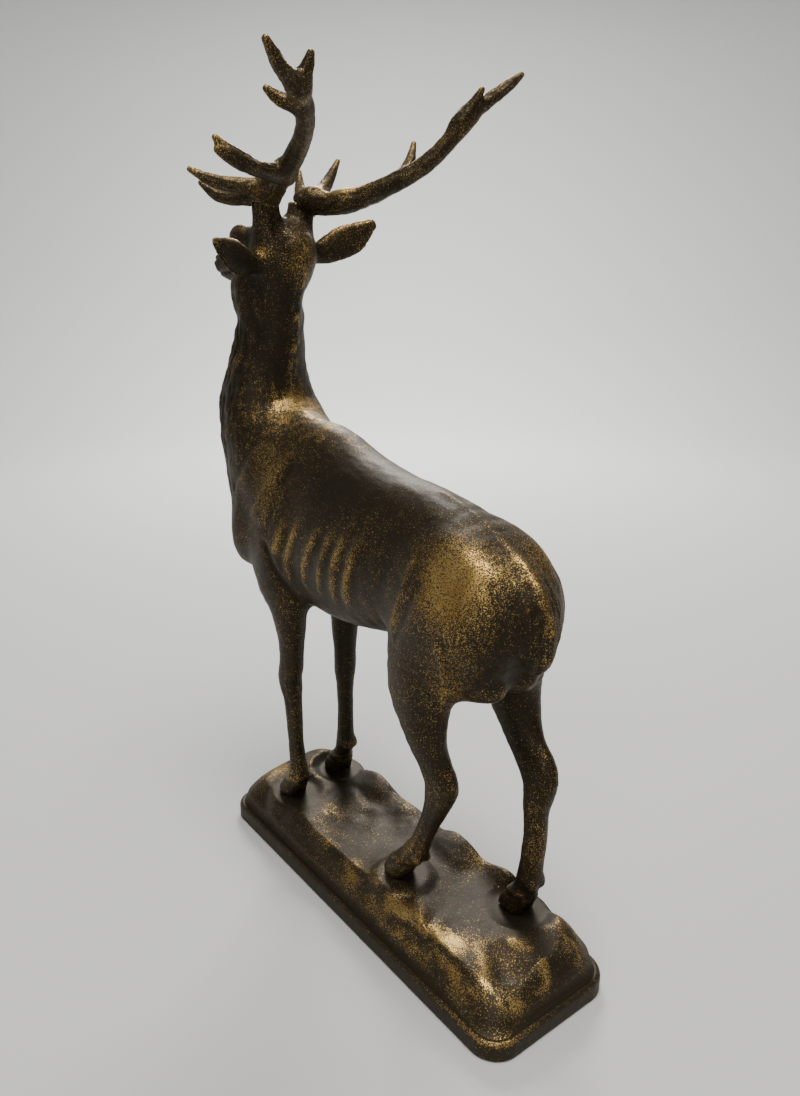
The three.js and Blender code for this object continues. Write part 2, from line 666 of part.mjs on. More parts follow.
// Antlers, level with the head's turn: how far ahead, out, up, and the radius
const SEAT = [2.6, 12.2, 22];
const LEFT_TINES = {
  beam: [[2.6, 12.2, 16, 6.2], [-1, 12.6, 23.5, 7], [-10, 15, 28, 6.2], [-24, 20, 31.5, 5.2],
    [-44, 29, 38.8, 4.5], [-61, 39, 45.5, 4.1], [-71, 48.4, 52, 4.2], [-76, 55, 56.5, 4.4]],
  brow: [[0, 12.5, 23, 4.6], [12, 20.5, 21, 3.8], [22, 27, 22.4, 3.1], [29.6, 32, 29, 1.5]],
  bez: [[-5, 14, 25.5, 5], [2, 26, 26, 4.2], [9, 38, 27.8, 3.4], [15.3, 47.5, 33, 1.6]],
  trez: [[-22, 19, 30.8, 5.6], [-27, 35, 29.8, 4.1], [-30, 50, 32.4, 3.6], [-27.5, 62, 41.3, 1.6]],
  spur: [[-29, 50, 32.5, 3], [-29, 58, 34.3, 2.5], [-27.5, 61.5, 36, 1.4]],
  crownSide: [[-68, 46.5, 51, 3.6], [-64, 54.6, 53, 3], [-62, 60, 56.6, 1.7]],
  crownInner: [[-76, 54.6, 56.5, 3.8], [-80, 54, 62, 2.9], [-82, 53.2, 67.8, 1.7]],
  crownOuter: [[-76, 55, 55.5, 4], [-81.4, 68, 60.4, 3.2], [-85.4, 78, 67.8, 1.7]],
};
const RIGHT_TINES = {
  beam: [[2.6, 12.2, 16, 6.2], [-1, 12.6, 22, 7], [-10, 15, 21.2, 6], [-22.4, 19.6, 21.4, 5.4],
    [-42.5, 28.6, 28, 4.9], [-60.6, 38.8, 38.2, 4.3], [-71.4, 47.3, 51.2, 4.1], [-76, 51.8, 58.6, 3.9]],
  brow: [[0, 12.5, 23, 4.6], [12, 19, 24, 4], [21, 26, 30.5, 3.1], [27.3, 31, 41, 1.4]],
  bez: [[-5, 13, 24, 5], [3, 24.5, 27.5, 4], [8.5, 36, 35.5, 3], [12.4, 46.6, 46.6, 1.4]],
  trez: [[-22, 18, 22.5, 5], [-31, 33, 25.5, 4.3], [-36, 50, 37.5, 3.4], [-31, 61.5, 52.6, 1.5]],
  crownInner: [[-72, 47.5, 54, 3.6], [-78.5, 50.5, 62.6, 2.8], [-83, 53, 70.4, 1.5]],
  crownOuter: [[-74, 49.5, 57, 3.9], [-81.5, 60, 66.8, 3.3], [-86.5, 69.5, 74.3, 2.8], [-89, 75.8, 79.3, 1.6]],
};

function antlerForm(s) {
  const scaled = (rows) => inFrame(turnFrame, rows.map(([x, y, z, r]) => {
    const out = SEAT.map((start, n) => start + ([x, y, z][n] - start) * ANTLER_UNIT);
    return [out[0], s * out[1], out[2], r * ANTLER_UNIT];
  }));
  const tines = s > 0 ? LEFT_TINES : RIGHT_TINES;
  return { limbs: Object.values(tines).map((rows) => rod(scaled(rows), { blend: 4 })), ridges: [] };
}

function seatOf(s) {
  const [x, y, z] = SEAT;
  const [low, high] = inFrame(turnFrame, [[x, s * y, z], [x - 1, s * (y + 1), z + 8]]);
  const point = new THREE.Vector3(...low).multiplyScalar(UNIT);
  const top = new THREE.Vector3(...high);
  return { point, normal: top.multiplyScalar(UNIT).sub(point).normalize() };
}

function makeStag() {
  let solid = cast(stagForm(), BODY_CELL, STAG_FACES);
  for (const { x, y, rise } of HOOVES) {
    solid = solid.subtract(block(new THREE.Vector3(x, y, rise).multiplyScalar(UNIT), UP, 26 * UNIT));
  }
  for (const s of [1, -1]) {
    const { point, normal } = seatOf(s);
    const away = normal.clone().negate();
    const foot = point.clone().addScaledVector(normal, -SEAT_GAP);
    solid = solid.subtract(block(foot, away, 16 * UNIT));
  }
  return solid;
}

function makeAntler(s) {
  const { point, normal } = seatOf(s);
  return cast(antlerForm(s), ANTLER_CELL, ANTLER_FACES).subtract(block(point, normal, 20 * UNIT));
}

// Base: rings of a rounded rectangle, from the flat underside up the moulded foot and over the rock
const FOOT_HALF_LENGTH = Math.max(...HOOVES.map(({ x }) => Math.abs(x))) * UNIT + END_MARGIN;
const FOOT_HALF_WIDTH = Math.max(...HOOVES.map(({ y }) => Math.abs(y))) * UNIT + SIDE_MARGIN;

// The rock's lumps: place along and across the base as shares of its half sizes, size and rise
const LUMPS = [
  { x: -0.2, y: 0.35, size: 20, rise: 3.5 },
  { x: -0.72, y: -0.1, size: 18, rise: 2.5 },
  { x: -0.88, y: 0.45, size: 12, rise: -3 },
  { x: 0.3, y: 0.1, size: 22, rise: -2.5 },
  { x: 0.75, y: 0, size: 22, rise: 1.5 },
  { x: -0.45, y: 0.7, size: 12, rise: 2 },
  { x: 0.12, y: -0.72, size: 17, rise: 4.5 },
  { x: 0.5, y: 0.75, size: 12, rise: 1.5 },
  { x: -0.2, y: -0.8, size: 16, rise: 7.5 },
  { x: -0.5, y: -0.85, size: 13, rise: 7.5 },
  { x: -0.84, y: -0.75, size: 14, rise: 5 },
  { x: 0.42, y: -0.8, size: 20, rise: 7 },
  { x: 0.84, y: -0.35, size: 16, rise: 3 },
];
const PAD_FLAT = 12;
const PAD_FADE = 19;

function rockHeight(x, y, inset) {
  const shoulder = THREE.MathUtils.smoothstep(inset, PLINTH_LEDGE - 6, PLINTH_LEDGE + 9);
  let z = PLINTH_HEIGHT + ROCK_RISE * shoulder;
  for (const lump of LUMPS) {
    const dx = x - lump.x * FOOT_HALF_LENGTH;
    const dy = y - lump.y * FOOT_HALF_WIDTH;
    z += shoulder * lump.rise * UNIT * Math.exp(-(dx * dx + dy * dy) / (lump.size * UNIT) ** 2);
  }
  for (const spot of HOOVES) {
    const off = Math.hypot(x - spot.x * UNIT, y - spot.y * UNIT);
    const share = 1 - THREE.MathUtils.smoothstep(off, PAD_FLAT * UNIT, PAD_FADE * UNIT);
    z += (GROUND + spot.rise * UNIT - SEAT_GAP - z) * share;
  }
  return z;
}

// One ring: the foot's plan outline drawn in by an inset, with its own corner radius
const ARC_STEPS = 5;
const LONG_STEPS = 20;
const SHORT_STEPS = 5;

function ring(inset, corner) {
  const radius = Math.min(corner, 0.8 * (FOOT_HALF_WIDTH - inset));
  const a = FOOT_HALF_LENGTH - inset - radius;
  const b = FOOT_HALF_WIDTH - inset - radius;
  const points = [];
  const corners = [[a, b], [-a, b], [-a, -b], [a, -b]];
  corners.forEach(([cx, cy], n) => {
    const onArc = (x, y, angle) => [x + radius * Math.cos(angle), y + radius * Math.sin(angle)];
    for (let i = 0; i <= ARC_STEPS; i += 1) points.push(onArc(cx, cy, ((n + i / ARC_STEPS) * Math.PI) / 2));
    const last = points[points.length - 1];
    const next = onArc(...corners[(n + 1) % 4], ((n + 1) * Math.PI) / 2);
    const steps = n % 2 === 0 ? LONG_STEPS : SHORT_STEPS;
    for (let i = 1; i < steps; i += 1) {
      points.push([last[0] + ((next[0] - last[0]) * i) / steps, last[1] + ((next[1] - last[1]) * i) / steps]);
    }
  });
  return points;
}

function makeBase() {
  const levels = [
    [PLINTH_ROUND, 0], [PLINTH_ROUND * 0.3, PLINTH_ROUND * 0.3], [0, PLINTH_ROUND],
    [0, PLINTH_HEIGHT - 2.4 * PLINTH_ROUND], [PLINTH_ROUND * 0.5, PLINTH_HEIGHT - PLINTH_ROUND],
    [PLINTH_ROUND * 1.3, PLINTH_HEIGHT - 0.5 * PLINTH_ROUND],
    [PLINTH_LEDGE * 0.8, PLINTH_HEIGHT - 0.6 * PLINTH_ROUND],
  ];
  const rings = levels.map(([inset, z]) => ring(inset, CORNER_RADIUS - inset).map(([x, y]) => [x, y, z]));
  const innermost = FOOT_HALF_WIDTH - 1.2;
  const rows = 9;
  for (let n = 0; n <= rows; n += 1) {
    const share = n / rows;
    const inset = PLINTH_LEDGE + (innermost - PLINTH_LEDGE) * (0.55 * share + 0.45 * share * share);
    rings.push(ring(inset, CORNER_RADIUS + 0.5 * inset).map(([x, y]) => [x, y, rockHeight(x, y, inset)]));
  }
  const around = rings[0].length;
  const positions = rings.flat(2);
  const faces = [];
  for (let r = 0; r < rings.length - 1; r += 1) {
    for (let i = 0; i < around; i += 1) {
      const j = (i + 1) % around;
      const [a, b, c, d] = [r * around + i, r * around + j, (r + 1) * around + j, (r + 1) * around + i];
      faces.push([a, b, c], [a, c, d]);
    }
  }
  faces.push(...lid((rings.length - 1) * around));
  faces.push(...lid(0).map(([a, b, c]) => [a, c, b]));
  return solidOf(geometryFrom(positions, faces));
}

// Closes a ring: strips between its two straight long edges, and a fan over each rounded end
function lid(first) {
  const count = 4 * ARC_STEPS + 2 * LONG_STEPS + 2 * SHORT_STEPS;
  const facing = (i) => 4 * ARC_STEPS + 2 * LONG_STEPS + SHORT_STEPS - i;
  const faces = [];
  const last = ARC_STEPS + LONG_STEPS;
  for (let i = ARC_STEPS; i < last; i += 1) {
    faces.push([i, i + 1, facing(i + 1)], [i, facing(i + 1), facing(i)]);
  }
  const restart = facing(ARC_STEPS);
  for (const [start, steps] of [[last, facing(last) - last], [restart, count + ARC_STEPS - restart]]) {
    for (let k = 1; k < steps; k += 1) faces.push([start, (start + k) % count, (start + k + 1) % count]);
  }
  return faces.map((face) => face.map((v) => first + v));
}

function piece(name, solid, color, roughness, lift) {
  const material = new THREE.MeshStandardMaterial({ color, roughness, metalness: 0.75 });
  const mesh = new THREE.Mesh(geometryOf(solid), material);
  mesh.name = name;
  mesh.position.z = lift;
  return mesh;
}

const figurine = new THREE.Group();
figurine.add(piece("base", makeBase(), "#3a3022", 0.5, 0));
figurine.add(piece("stag", makeStag(), "#43351f", 0.45, GROUND));
figurine.add(piece("left_antler", makeAntler(1), "#4a3a20", 0.45, GROUND));
figurine.add(piece("right_antler", makeAntler(-1), "#4a3a20", 0.45, GROUND));

export default figurine;
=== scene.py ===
"""A cast stag on a rocky base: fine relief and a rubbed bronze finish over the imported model.

Lengths in the tables are millimetres.
"""
import math

import bpy
import numpy as np
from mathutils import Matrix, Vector


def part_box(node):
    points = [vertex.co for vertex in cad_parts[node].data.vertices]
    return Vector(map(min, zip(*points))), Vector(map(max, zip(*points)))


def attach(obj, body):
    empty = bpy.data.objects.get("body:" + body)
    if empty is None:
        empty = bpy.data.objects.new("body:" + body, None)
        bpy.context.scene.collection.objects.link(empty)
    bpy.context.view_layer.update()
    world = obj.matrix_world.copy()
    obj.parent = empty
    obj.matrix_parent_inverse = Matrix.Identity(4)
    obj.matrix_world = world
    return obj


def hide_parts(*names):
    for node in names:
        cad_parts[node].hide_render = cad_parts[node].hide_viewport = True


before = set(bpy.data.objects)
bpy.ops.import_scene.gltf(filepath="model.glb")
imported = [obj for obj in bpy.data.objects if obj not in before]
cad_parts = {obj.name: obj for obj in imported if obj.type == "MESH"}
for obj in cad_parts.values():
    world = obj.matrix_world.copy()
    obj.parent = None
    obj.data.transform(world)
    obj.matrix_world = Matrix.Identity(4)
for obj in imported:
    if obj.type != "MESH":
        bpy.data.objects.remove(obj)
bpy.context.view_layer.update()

METRES = 0.001
GROUND = 28.0
SEAT_GAP = 0.3
UP = np.array([0.0, 0.0, 1.0])
AHEAD = np.array([1.0, 0.0, 0.0])
FAR = 1e4


# Forms, as in the part's source: a form is a list of limbs; a limb is its stretches and how softly it joins
def smooth_rows(rows, steps):
    rows = np.array(rows, float)
    out = []
    for i in range(len(rows) - 1):
        a, b, c, d = rows[max(i - 1, 0)], rows[i], rows[i + 1], rows[min(i + 2, len(rows) - 1)]
        for t in np.arange(steps) / steps:
            out.append(b + 0.5 * t * (c - a + t * (2 * a - 5 * b + 4 * c - d + t * (3 * (b - c) + d - a))))
    out.append(rows[-1])
    return np.array(out)


def oval(s, u, w, rs, ru, rw):
    k0 = np.sqrt((s / rs) ** 2 + (u / ru) ** 2 + (w / rw) ** 2)
    k1 = np.sqrt((s / rs ** 2) ** 2 + (u / ru ** 2) ** 2 + (w / rw ** 2) ** 2)
    return np.where(k0 < 1e-5, -np.minimum(rs, ru), k0 * (k0 - 1) / np.maximum(k1, 1e-9))


def stretch(a, b, facing):
    start, step = a[:3], b[:3] - a[:3]
    length = np.linalg.norm(step)
    tangent = step / length
    up = facing - tangent * (facing @ tangent)
    up /= np.linalg.norm(up)
    side = np.cross(tangent, up)

    def far(p):
        v = p - start
        t = np.clip(v @ step / length ** 2, 0, 1)
        v = v - t[:, None] * step
        rs = a[3] + (b[3] - a[3]) * t
        u = v @ up
        ru = np.where(u > 0, a[4] + (b[4] - a[4]) * t, a[5] + (b[5] - a[5]) * t)
        return oval(v @ side, u, v @ tangent, rs, ru, np.minimum(rs, ru))

    return start + step / 2, length / 2 + max(a[3:].max(), b[3:].max()), far


def limb(rows, facing, blend):
    fine = smooth_rows(rows, 3)
    return [stretch(a, b, facing) for a, b in zip(fine, fine[1:])], blend


def rod(rows, blend):
    """A round limb, whose rows give one radius."""
    return limb([[*row, row[3], row[3]] for row in rows], UP, blend)


def muscle(centre, along, radii, blend):
    axis = np.array(along, float)
    axis /= np.linalg.norm(axis)
    side = np.cross(UP, axis)
    side /= np.linalg.norm(side)
    up = np.cross(axis, side)
    middle = np.array(centre, float)
    rw, rs, ru = radii

    def far(p):
        v = p - middle
        return oval(v @ side, v @ up, v @ axis, rs, ru, rw)

    return [(middle, max(radii), far)], blend


def evaluate(limbs, centres, reach, points):
    """Distances at points (M, K, 3), where each of the M groups lies round its own centre."""
    many = points.shape[1]
    total = np.full(points.shape[:2], FAR)
    for parts, blend in limbs:
        d = np.full(points.shape[:2], FAR)
        touched = np.zeros(len(points), bool)
        for centre, radius, far in parts:
            near = np.linalg.norm(centres - centre, axis=1) < radius + reach + blend
            if near.any():
                found = far(points[near].reshape(-1, 3)).reshape(-1, many)
                d[near] = np.minimum(d[near], found)
                touched |= near
        a, b = total[touched], d[touched]
        h = np.maximum(blend - np.abs(a - b), 0) / blend
        total[touched] = np.minimum(a, b) - h * h * blend / 4
    return total


BLOCK = 8


def surface(limbs, axes, cut):
    """Vertices and quads where the form's distance is zero, on a grid with uneven spacing along each axis."""
    axes = [np.array(axis) for axis in axes]
    for n, axis in enumerate(axes):
        spare = -(len(axis) - 1) % BLOCK
        axes[n] = np.append(axis, axis[-1] + (axis[-1] - axis[-2]) * np.arange(1, spare + 1))
    blocks = [(len(axis) - 1) // BLOCK for axis in axes]
    middles = [(axis[:-1:BLOCK] + axis[BLOCK::BLOCK]) / 2 for axis in axes]
    halves = [(axis[BLOCK::BLOCK] - axis[:-1:BLOCK]) / 2 for axis in axes]
    centres = np.stack(np.meshgrid(*middles, indexing="ij"), -1).reshape(-1, 3)
    half = np.stack(np.meshgrid(*halves, indexing="ij"), -1).reshape(-1, 3)
    rough = evaluate(limbs, centres, 1e3, centres[:, None])[:, 0]
    radius = np.linalg.norm(half, axis=1)
    active = np.nonzero(np.abs(rough) < 1.7 * radius + 1)[0]
    values = rough.reshape(blocks).astype(np.float32)
    for n in range(3):
        values = np.repeat(values, BLOCK, axis=n)
    values = np.pad(values, ((0, 1),) * 3, mode="edge")
    steps = np.arange(BLOCK + 1)
    for group in np.array_split(active, max(1, len(active) // 400)):
        at = np.stack(np.unravel_index(group, blocks), -1) * BLOCK
        grids = [axes[n][at[:, n][:, None] + steps] for n in range(3)]
        shape = (len(group), BLOCK + 1, BLOCK + 1, BLOCK + 1)
        points = np.empty((*shape, 3))
        points[..., 0] = grids[0][:, :, None, None]
        points[..., 1] = grids[1][:, None, :, None]
        points[..., 2] = grids[2][:, None, None, :]
        flat = points.reshape(len(group), -1, 3)
        found = evaluate(limbs, centres[group], radius[group].max() + 1, flat)
        found = cut(flat.reshape(-1, 3), found.reshape(-1)).reshape(shape)
        for (i, j, k), block in zip(at, found):
            values[i:i + BLOCK + 1, j:j + BLOCK + 1, k:k + BLOCK + 1] = block
    return nets(values, axes)


def nets(values, axes):
    inside = values < 0
    corners = [(i, j, k) for i in (0, 1) for j in (0, 1) for k in (0, 1)]
    shape = tuple(n - 1 for n in values.shape)
    count = np.zeros(shape, np.int8)
    for i, j, k in corners:
        count += inside[i:shape[0] + i, j:shape[1] + j, k:shape[2] + k]
    cells = np.argwhere((count > 0) & (count < 8))
    index = np.full(shape, -1, np.int64)
    index[tuple(cells.T)] = np.arange(len(cells))
    total = np.zeros((len(cells), 3))
    crossings = np.zeros(len(cells))
    for a in corners:
        for n in range(3):
            if a[n] == 1:
                continue
            b = tuple(1 if m == n else a[m] for m in range(3))
            ia, ib = cells + a, cells + b
            va, vb = values[tuple(ia.T)], values[tuple(ib.T)]
            split = (va < 0) != (vb < 0)
            t = np.where(split, va / np.where(split, va - vb, 1), 0)
            place = np.stack([axes[m][ia[:, m]] for m in range(3)], 1)
            place[:, n] += t * (axes[n][ib[:, n]] - axes[n][ia[:, n]])
            total += place * split[:, None]
            crossings += split
    vertices = total / crossings[:, None]
    quads = []
    for a in range(3):
        lower = inside.take(range(inside.shape[a] - 1), axis=a)
        upper = inside.take(range(1, inside.shape[a]), axis=a)
        edges = np.argwhere(lower != upper)
        b, c = np.eye(3, dtype=int)[(a + 1) % 3], np.eye(3, dtype=int)[(a + 2) % 3]
        ring = [index[tuple((edges - back).T)] for back in (b + c, c, 0 * b, b)]
        quad = np.stack(ring, 1)
        outward = lower[tuple(edges.T)]
        quads.append(np.where(outward[:, None], quad, quad[:, ::-1]))
    return vertices, np.concatenate(quads)


# Noise, lines and patches for the relief, the rubbed places and the painted highlight and shade
def noise(p, seed):
    """Smooth noise from -1 to 1 at points (N, 3)."""
    whole = np.floor(p).astype(np.int64)
    f = p - whole
    f = f * f * (3 - 2 * f)
    total = np.zeros(len(p))
    for corner in range(8):
        side = np.array([corner & 1, corner >> 1 & 1, corner >> 2 & 1])
        h = (whole + side) @ np.array([73856093, 19349663, 83492791]) + seed * 7919
        h = (h ^ (h >> 13)) * 1274126177 & 0xFFFFFFFF
        h = (h ^ (h >> 16)) & 0xFFFF
        total += np.prod(np.where(side, f, 1 - f), axis=1) * (h / 32767.5 - 1)
    return total


def layered(p, size, seed, layers):
    """Noise whose features are size long on each axis, with finer layers over it."""
    size = np.array(size, float)
    return sum(noise(p / size * 2 ** n + 17.3 * n, seed + n) * 0.5 ** n for n in range(layers))


def step(x, low, high):
    t = np.clip((x - low) / (high - low), 0, 1)
    return t * t * (3 - 2 * t)


def off_line(p, points, width):
    """Distance to a smooth line, for the points near it, and their indices."""
    fine = smooth_rows(points, 4)
    near = np.nonzero(((p > fine.min(0) - 3 * width) & (p < fine.max(0) + 3 * width)).all(1))[0]
    best = np.full(len(near), FAR)
    for a, b in zip(fine, fine[1:]):
        v = p[near] - a
        t = np.clip(v @ (b - a) / max((b - a) @ (b - a), 1e-9), 0, 1)
        best = np.minimum(best, np.linalg.norm(v - t[:, None] * (b - a), axis=1))
    return best, near


def normals_of(vertices, faces):
    a, b, c, d = (vertices[faces[:, n]] for n in range(4))
    cross = np.cross(c - a, d - b)
    total = np.stack([
        sum(np.bincount(faces[:, n], cross[:, m], len(vertices)) for n in range(4)) for m in range(3)], 1)
    return total / np.maximum(np.linalg.norm(total, axis=1), 1e-12)[:, None]


def mean_of_neighbours(values, faces):
    total = np.zeros(values.shape)
    count = np.zeros(len(values))
    for n in range(4):
        for other in ((n + 1) % 4, (n + 3) % 4):
            count += np.bincount(faces[:, n], minlength=len(values))
            for m in range(values.shape[1]):
                total[:, m] += np.bincount(faces[:, n], values[faces[:, other], m], len(values))
    return total / count[:, None]


class Relief:
    """A surface whose vertices are moved along their normals, feature by feature."""

    def __init__(self, vertices, faces):
        self.v, self.faces = vertices, faces
        self.n = normals_of(vertices, faces)
        self.h = np.zeros(len(vertices))
        self.rub_and_painted_light = np.zeros(len(vertices))

    def snap(self, points):
        return [self.v[np.argmin(((self.v - np.array(q)) ** 2).sum(1))] for q in points]

    def line(self, points, width, height, rub_and_painted_light=0.0, share=None):
        distance, near = off_line(self.v, self.snap(points), width)
        lift = np.exp(-(distance / width) ** 2)
        if share is not None:
            lift = lift * share[near]
        self.h[near] += height * lift
        self.rub_and_painted_light[near] += rub_and_painted_light * lift

    def bump(self, centre, radius, height):
        spot = self.snap([centre])[0]
        self.h += height * np.exp(-((self.v - spot) ** 2).sum(1) / radius ** 2)

    def patch(self, centre, radii, rub_and_painted_light, facing=None):
        lift = np.exp(-(((self.v - np.array(centre)) / np.array(radii)) ** 2).sum(1))
        if facing is not None:
            lift = lift * step(self.n @ np.array(facing, float), 0.0, 0.5)
        self.rub_and_painted_light += rub_and_painted_light * lift

    def settle(self):
        self.v = self.v + self.n * self.h[:, None]
        self.n = normals_of(self.v, self.faces)
        self.h[:] = 0

    def crest(self, rounds):
        """How far each vertex stands above its surroundings, in millimetres."""
        smooth = self.v
        for _ in range(rounds):
            smooth = mean_of_neighbours(smooth, self.faces)
        return ((self.v - smooth) * self.n).sum(1)


# The stag's form: the tables of the part's source, with the eyes, nostrils, cheeks and ear hollows added
HOOVES = [(77, 17.5, 0, 4), (82.5, -19, 0, -3), (-25, 14, 3.5, 3), (-77.5, -19, 0, -3)]
FETLOCKS = [(72, 17.5, 15), (74, -18.3, 25), (-38, 14.5, 23.5), (-84, -19, 21.5)]
HEAD_PIVOT = np.array([90.0, 0.0, 312.0])


def turning(axis, degrees):
    angle = math.radians(degrees)
    c, s = math.cos(angle), math.sin(angle)
    i, j = (axis + 1) % 3, (axis + 2) % 3
    m = np.eye(3)
    m[i, i], m[i, j], m[j, i], m[j, j] = c, -s, s, c
    return m


TURN = turning(2, 9)
HEAD = TURN @ turning(0, -5)
FACE = turning(2, 5) @ turning(0, -5) @ turning(1, 4.5)


def placed(frame_of, rows):
    return [[*(frame_of @ np.array(row[:3], float) + HEAD_PIVOT), *row[3:]] for row in rows]


TRUNK = [
    [-90, 0, 153, 12, 18, 13], [-84, 0, 157, 19.5, 25, 18], [-70, 0, 161, 25.5, 31, 30],
    [-52, 0, 163, 27.5, 37.5, 34], [-28, 0, 165, 27, 41, 32], [0, 0, 165, 29.5, 44.2, 38],
    [30, 0, 165, 30.5, 50.5, 43.5], [58, 0, 167, 30, 57.5, 44.5], [82, 0, 171, 28, 52, 42],
    [104, 0, 179, 25, 40, 36], [114, 0, 185, 19, 28, 29]]
NECK = [
    [84, 0, 180, 27, 46, 36], [96, 1, 197, 31, 48, 31.5], [104, 2, 213, 29.5, 46, 25],
    [108, 3.5, 228, 26, 40, 19], [109.5, 3.5, 248, 20.5, 30, 18.5], [108, 3, 270, 16.5, 21, 21.5],
    [105, 3, 286, 15.5, 19, 20.5], [100, 2, 300, 14, 17, 18], [96, 1, 309, 11, 12, 13.5]]
SKULL = [
    [1, 0, -2, 14, 12, 14], [9, 0, 0, 14.5, 14, 16], [20, 0, 1, 15, 13.5, 16], [33, 0, 0, 12, 11, 14.5],
    [45, 0, -1, 9, 9, 11], [55, 0, -2, 8, 8, 8.5], [62, 0, -3, 7.4, 6.5, 7]]
EAR = [
    [3, 11, -4, 5, 5, 5], [4.5, 19, -5.5, 4, 4.4, 5], [3, 27, -4.2, 3.4, 6.2, 8], [-1, 36.5, -0.8, 3, 7.4, 10],
    [-5.5, 45, 3.2, 2.7, 5, 9.5], [-9, 53, 6.2, 2.2, 2.4, 4]]
EAR_LENGTH, RIGHT_EAR_LIFT = 53.0, 3.0
LEGS = [
    [[78, 15, 172, 14, 27, 26], [73, 20, 142, 13, 25, 20], [69, 21, 124, 10, 15, 13], [69, 20, 104, 7.4, 9, 9],
     [72, 19, 88, 6.6, 7.6, 8], [75, 18.5, 77, 6.8, 8.6, 7.5], [74.5, 18, 70, 6.2, 7.2, 6.8],
     [73.5, 18, 63, 5.2, 5.6, 6], [73, 18, 45, 4.7, 5, 5.6], [72, 17.5, 25, 4.7, 5, 5.8],
     [71.5, 17.5, 14.5, 5.6, 5.8, 6.4], [74, 17.5, 7, 5.4, 5.4, 5.6]],
    [[79, -15, 172, 14, 27, 26], [76, -20, 142, 13, 22, 20], [77, -22, 118, 9.5, 12.5, 12],
     [75, -20, 92, 7, 7.4, 7.6], [73, -18.5, 74, 6.4, 7.4, 6.6], [72.8, -18, 64, 5.2, 5.6, 5.8],
     [73, -18, 46, 4.7, 5, 5.6], [73.6, -18, 29, 5.2, 5.8, 6.4], [74.5, -18.5, 23, 5.6, 6, 6.6],
     [78, -19, 14, 5, 5, 5.2], [80.5, -19, 7, 5.4, 5.4, 5.6]],
    [[-62, 12, 164, 15, 34, 26], [-52, 17, 140, 13.5, 28, 24], [-50, 21, 118, 11, 22, 17],
     [-54, 22, 98, 8.4, 12, 11.5], [-57, 20, 86, 7, 9, 9.5], [-60, 18.5, 76, 6.6, 8.5, 10.8],
     [-59, 17.5, 68, 6.2, 8, 8], [-54.5, 16.5, 57, 5.4, 6.4, 6.2], [-47.6, 15.5, 43, 4.8, 5.2, 5.4],
     [-41.5, 15, 30, 4.9, 5.4, 6], [-37, 14.5, 23, 5.6, 6, 6.4], [-31, 14, 15, 5.4, 5.8, 5.6],
     [-27, 14, 9, 5.6, 6, 5.6]],
    [[-66, -12, 164, 15, 34, 26], [-62, -18, 140, 13.5, 27, 24], [-62, -23, 118, 11, 20, 17],
     [-68, -23, 100, 9, 12, 12], [-76, -21, 89, 7.2, 9, 9.5], [-85, -19.5, 78, 6.6, 9, 11.6],
     [-87, -19, 69, 6.2, 8.4, 8], [-86, -19, 60, 5.6, 6.6, 6.4], [-86, -19, 45, 5.2, 5.6, 6],
     [-84.5, -19, 30, 5.4, 5.8, 6.2], [-83.5, -19, 21, 5.8, 6.2, 6.8], [-81, -19, 13, 5.2, 5.4, 5.6],
     [-79, -19, 7, 5.6, 5.8, 5.8]]]
MUSCLES = [
    [(-63, 14, 160), (1, 0, 0.15), (32, 15.5, 32), 9], [(76, 18, 178), (0.5, 0, 1), (34, 13, 21), 8],
    [(105, 17.5, 160), (1, 0, 0.2), (16, 16, 24), 10], [(74, 19, 146), (0.3, 0, 1), (20, 10, 17), 8],
    [(-69, 9, 129), (1, 0, 0), (20, 9, 10), 10]]
TAIL = [
    [-84, 0, 181, 6, 5, 5], [-95, 0, 173, 7, 5, 5], [-101, 0, 160, 7.4, 5, 5], [-101.5, 0, 148, 6.4, 4.6, 4.6],
    [-98.5, 0, 142, 3.4, 3.6, 3.6]]
EYE_AHEAD = 29.5
SEAT = [2.6, 12.2, 22]
STUMP = [[5, 9.5, 3, 8.4], [4, 11, 12, 7.4], [3, 12.5, 26, 6.5]]


def sided(rows, s):
    return [[row[0], s * row[1], *row[2:]] for row in rows]


def ear_rows(rows, s):
    """An ear's rows on its own side; the right ear is held a little higher."""
    lift = RIGHT_EAR_LIFT if s < 0 else 0.0
    return [[row[0], s * row[1], row[2] + lift * row[1] / EAR_LENGTH, *row[3:]] for row in rows]


def on_face(x, y, z):
    return placed(FACE, [[x, y, z]])[0]


def hoof(x, y, rise, turn, fetlock):
    c, s = math.cos(math.radians(turn)), math.sin(math.radians(turn))
    forms = []
    for side in (1, -1):
        def toe(ahead, out, z, *r):
            return [x + ahead * c - side * out * s, y + ahead * s + side * out * c, z + rise, *r]
        forms.append(limb([
            toe(-4.5, 2.6, 11, 3.8, 5, 5), toe(-0.5, 3.3, 6, 4, 6.2, 6), toe(1.5, 3.7, 1, 4.2, 7.4, 6.6),
            toe(1.8, 3.8, -3, 4.2, 7.6, 6.6)], AHEAD, 2.4))
        claw = (fetlock[0] - 4.6, fetlock[1] + side * 3.2, fetlock[2] - 1.5)
        forms.append(muscle(claw, (-0.4, 0, -1), (2.8, 1.8, 1.9), 3))
    return forms


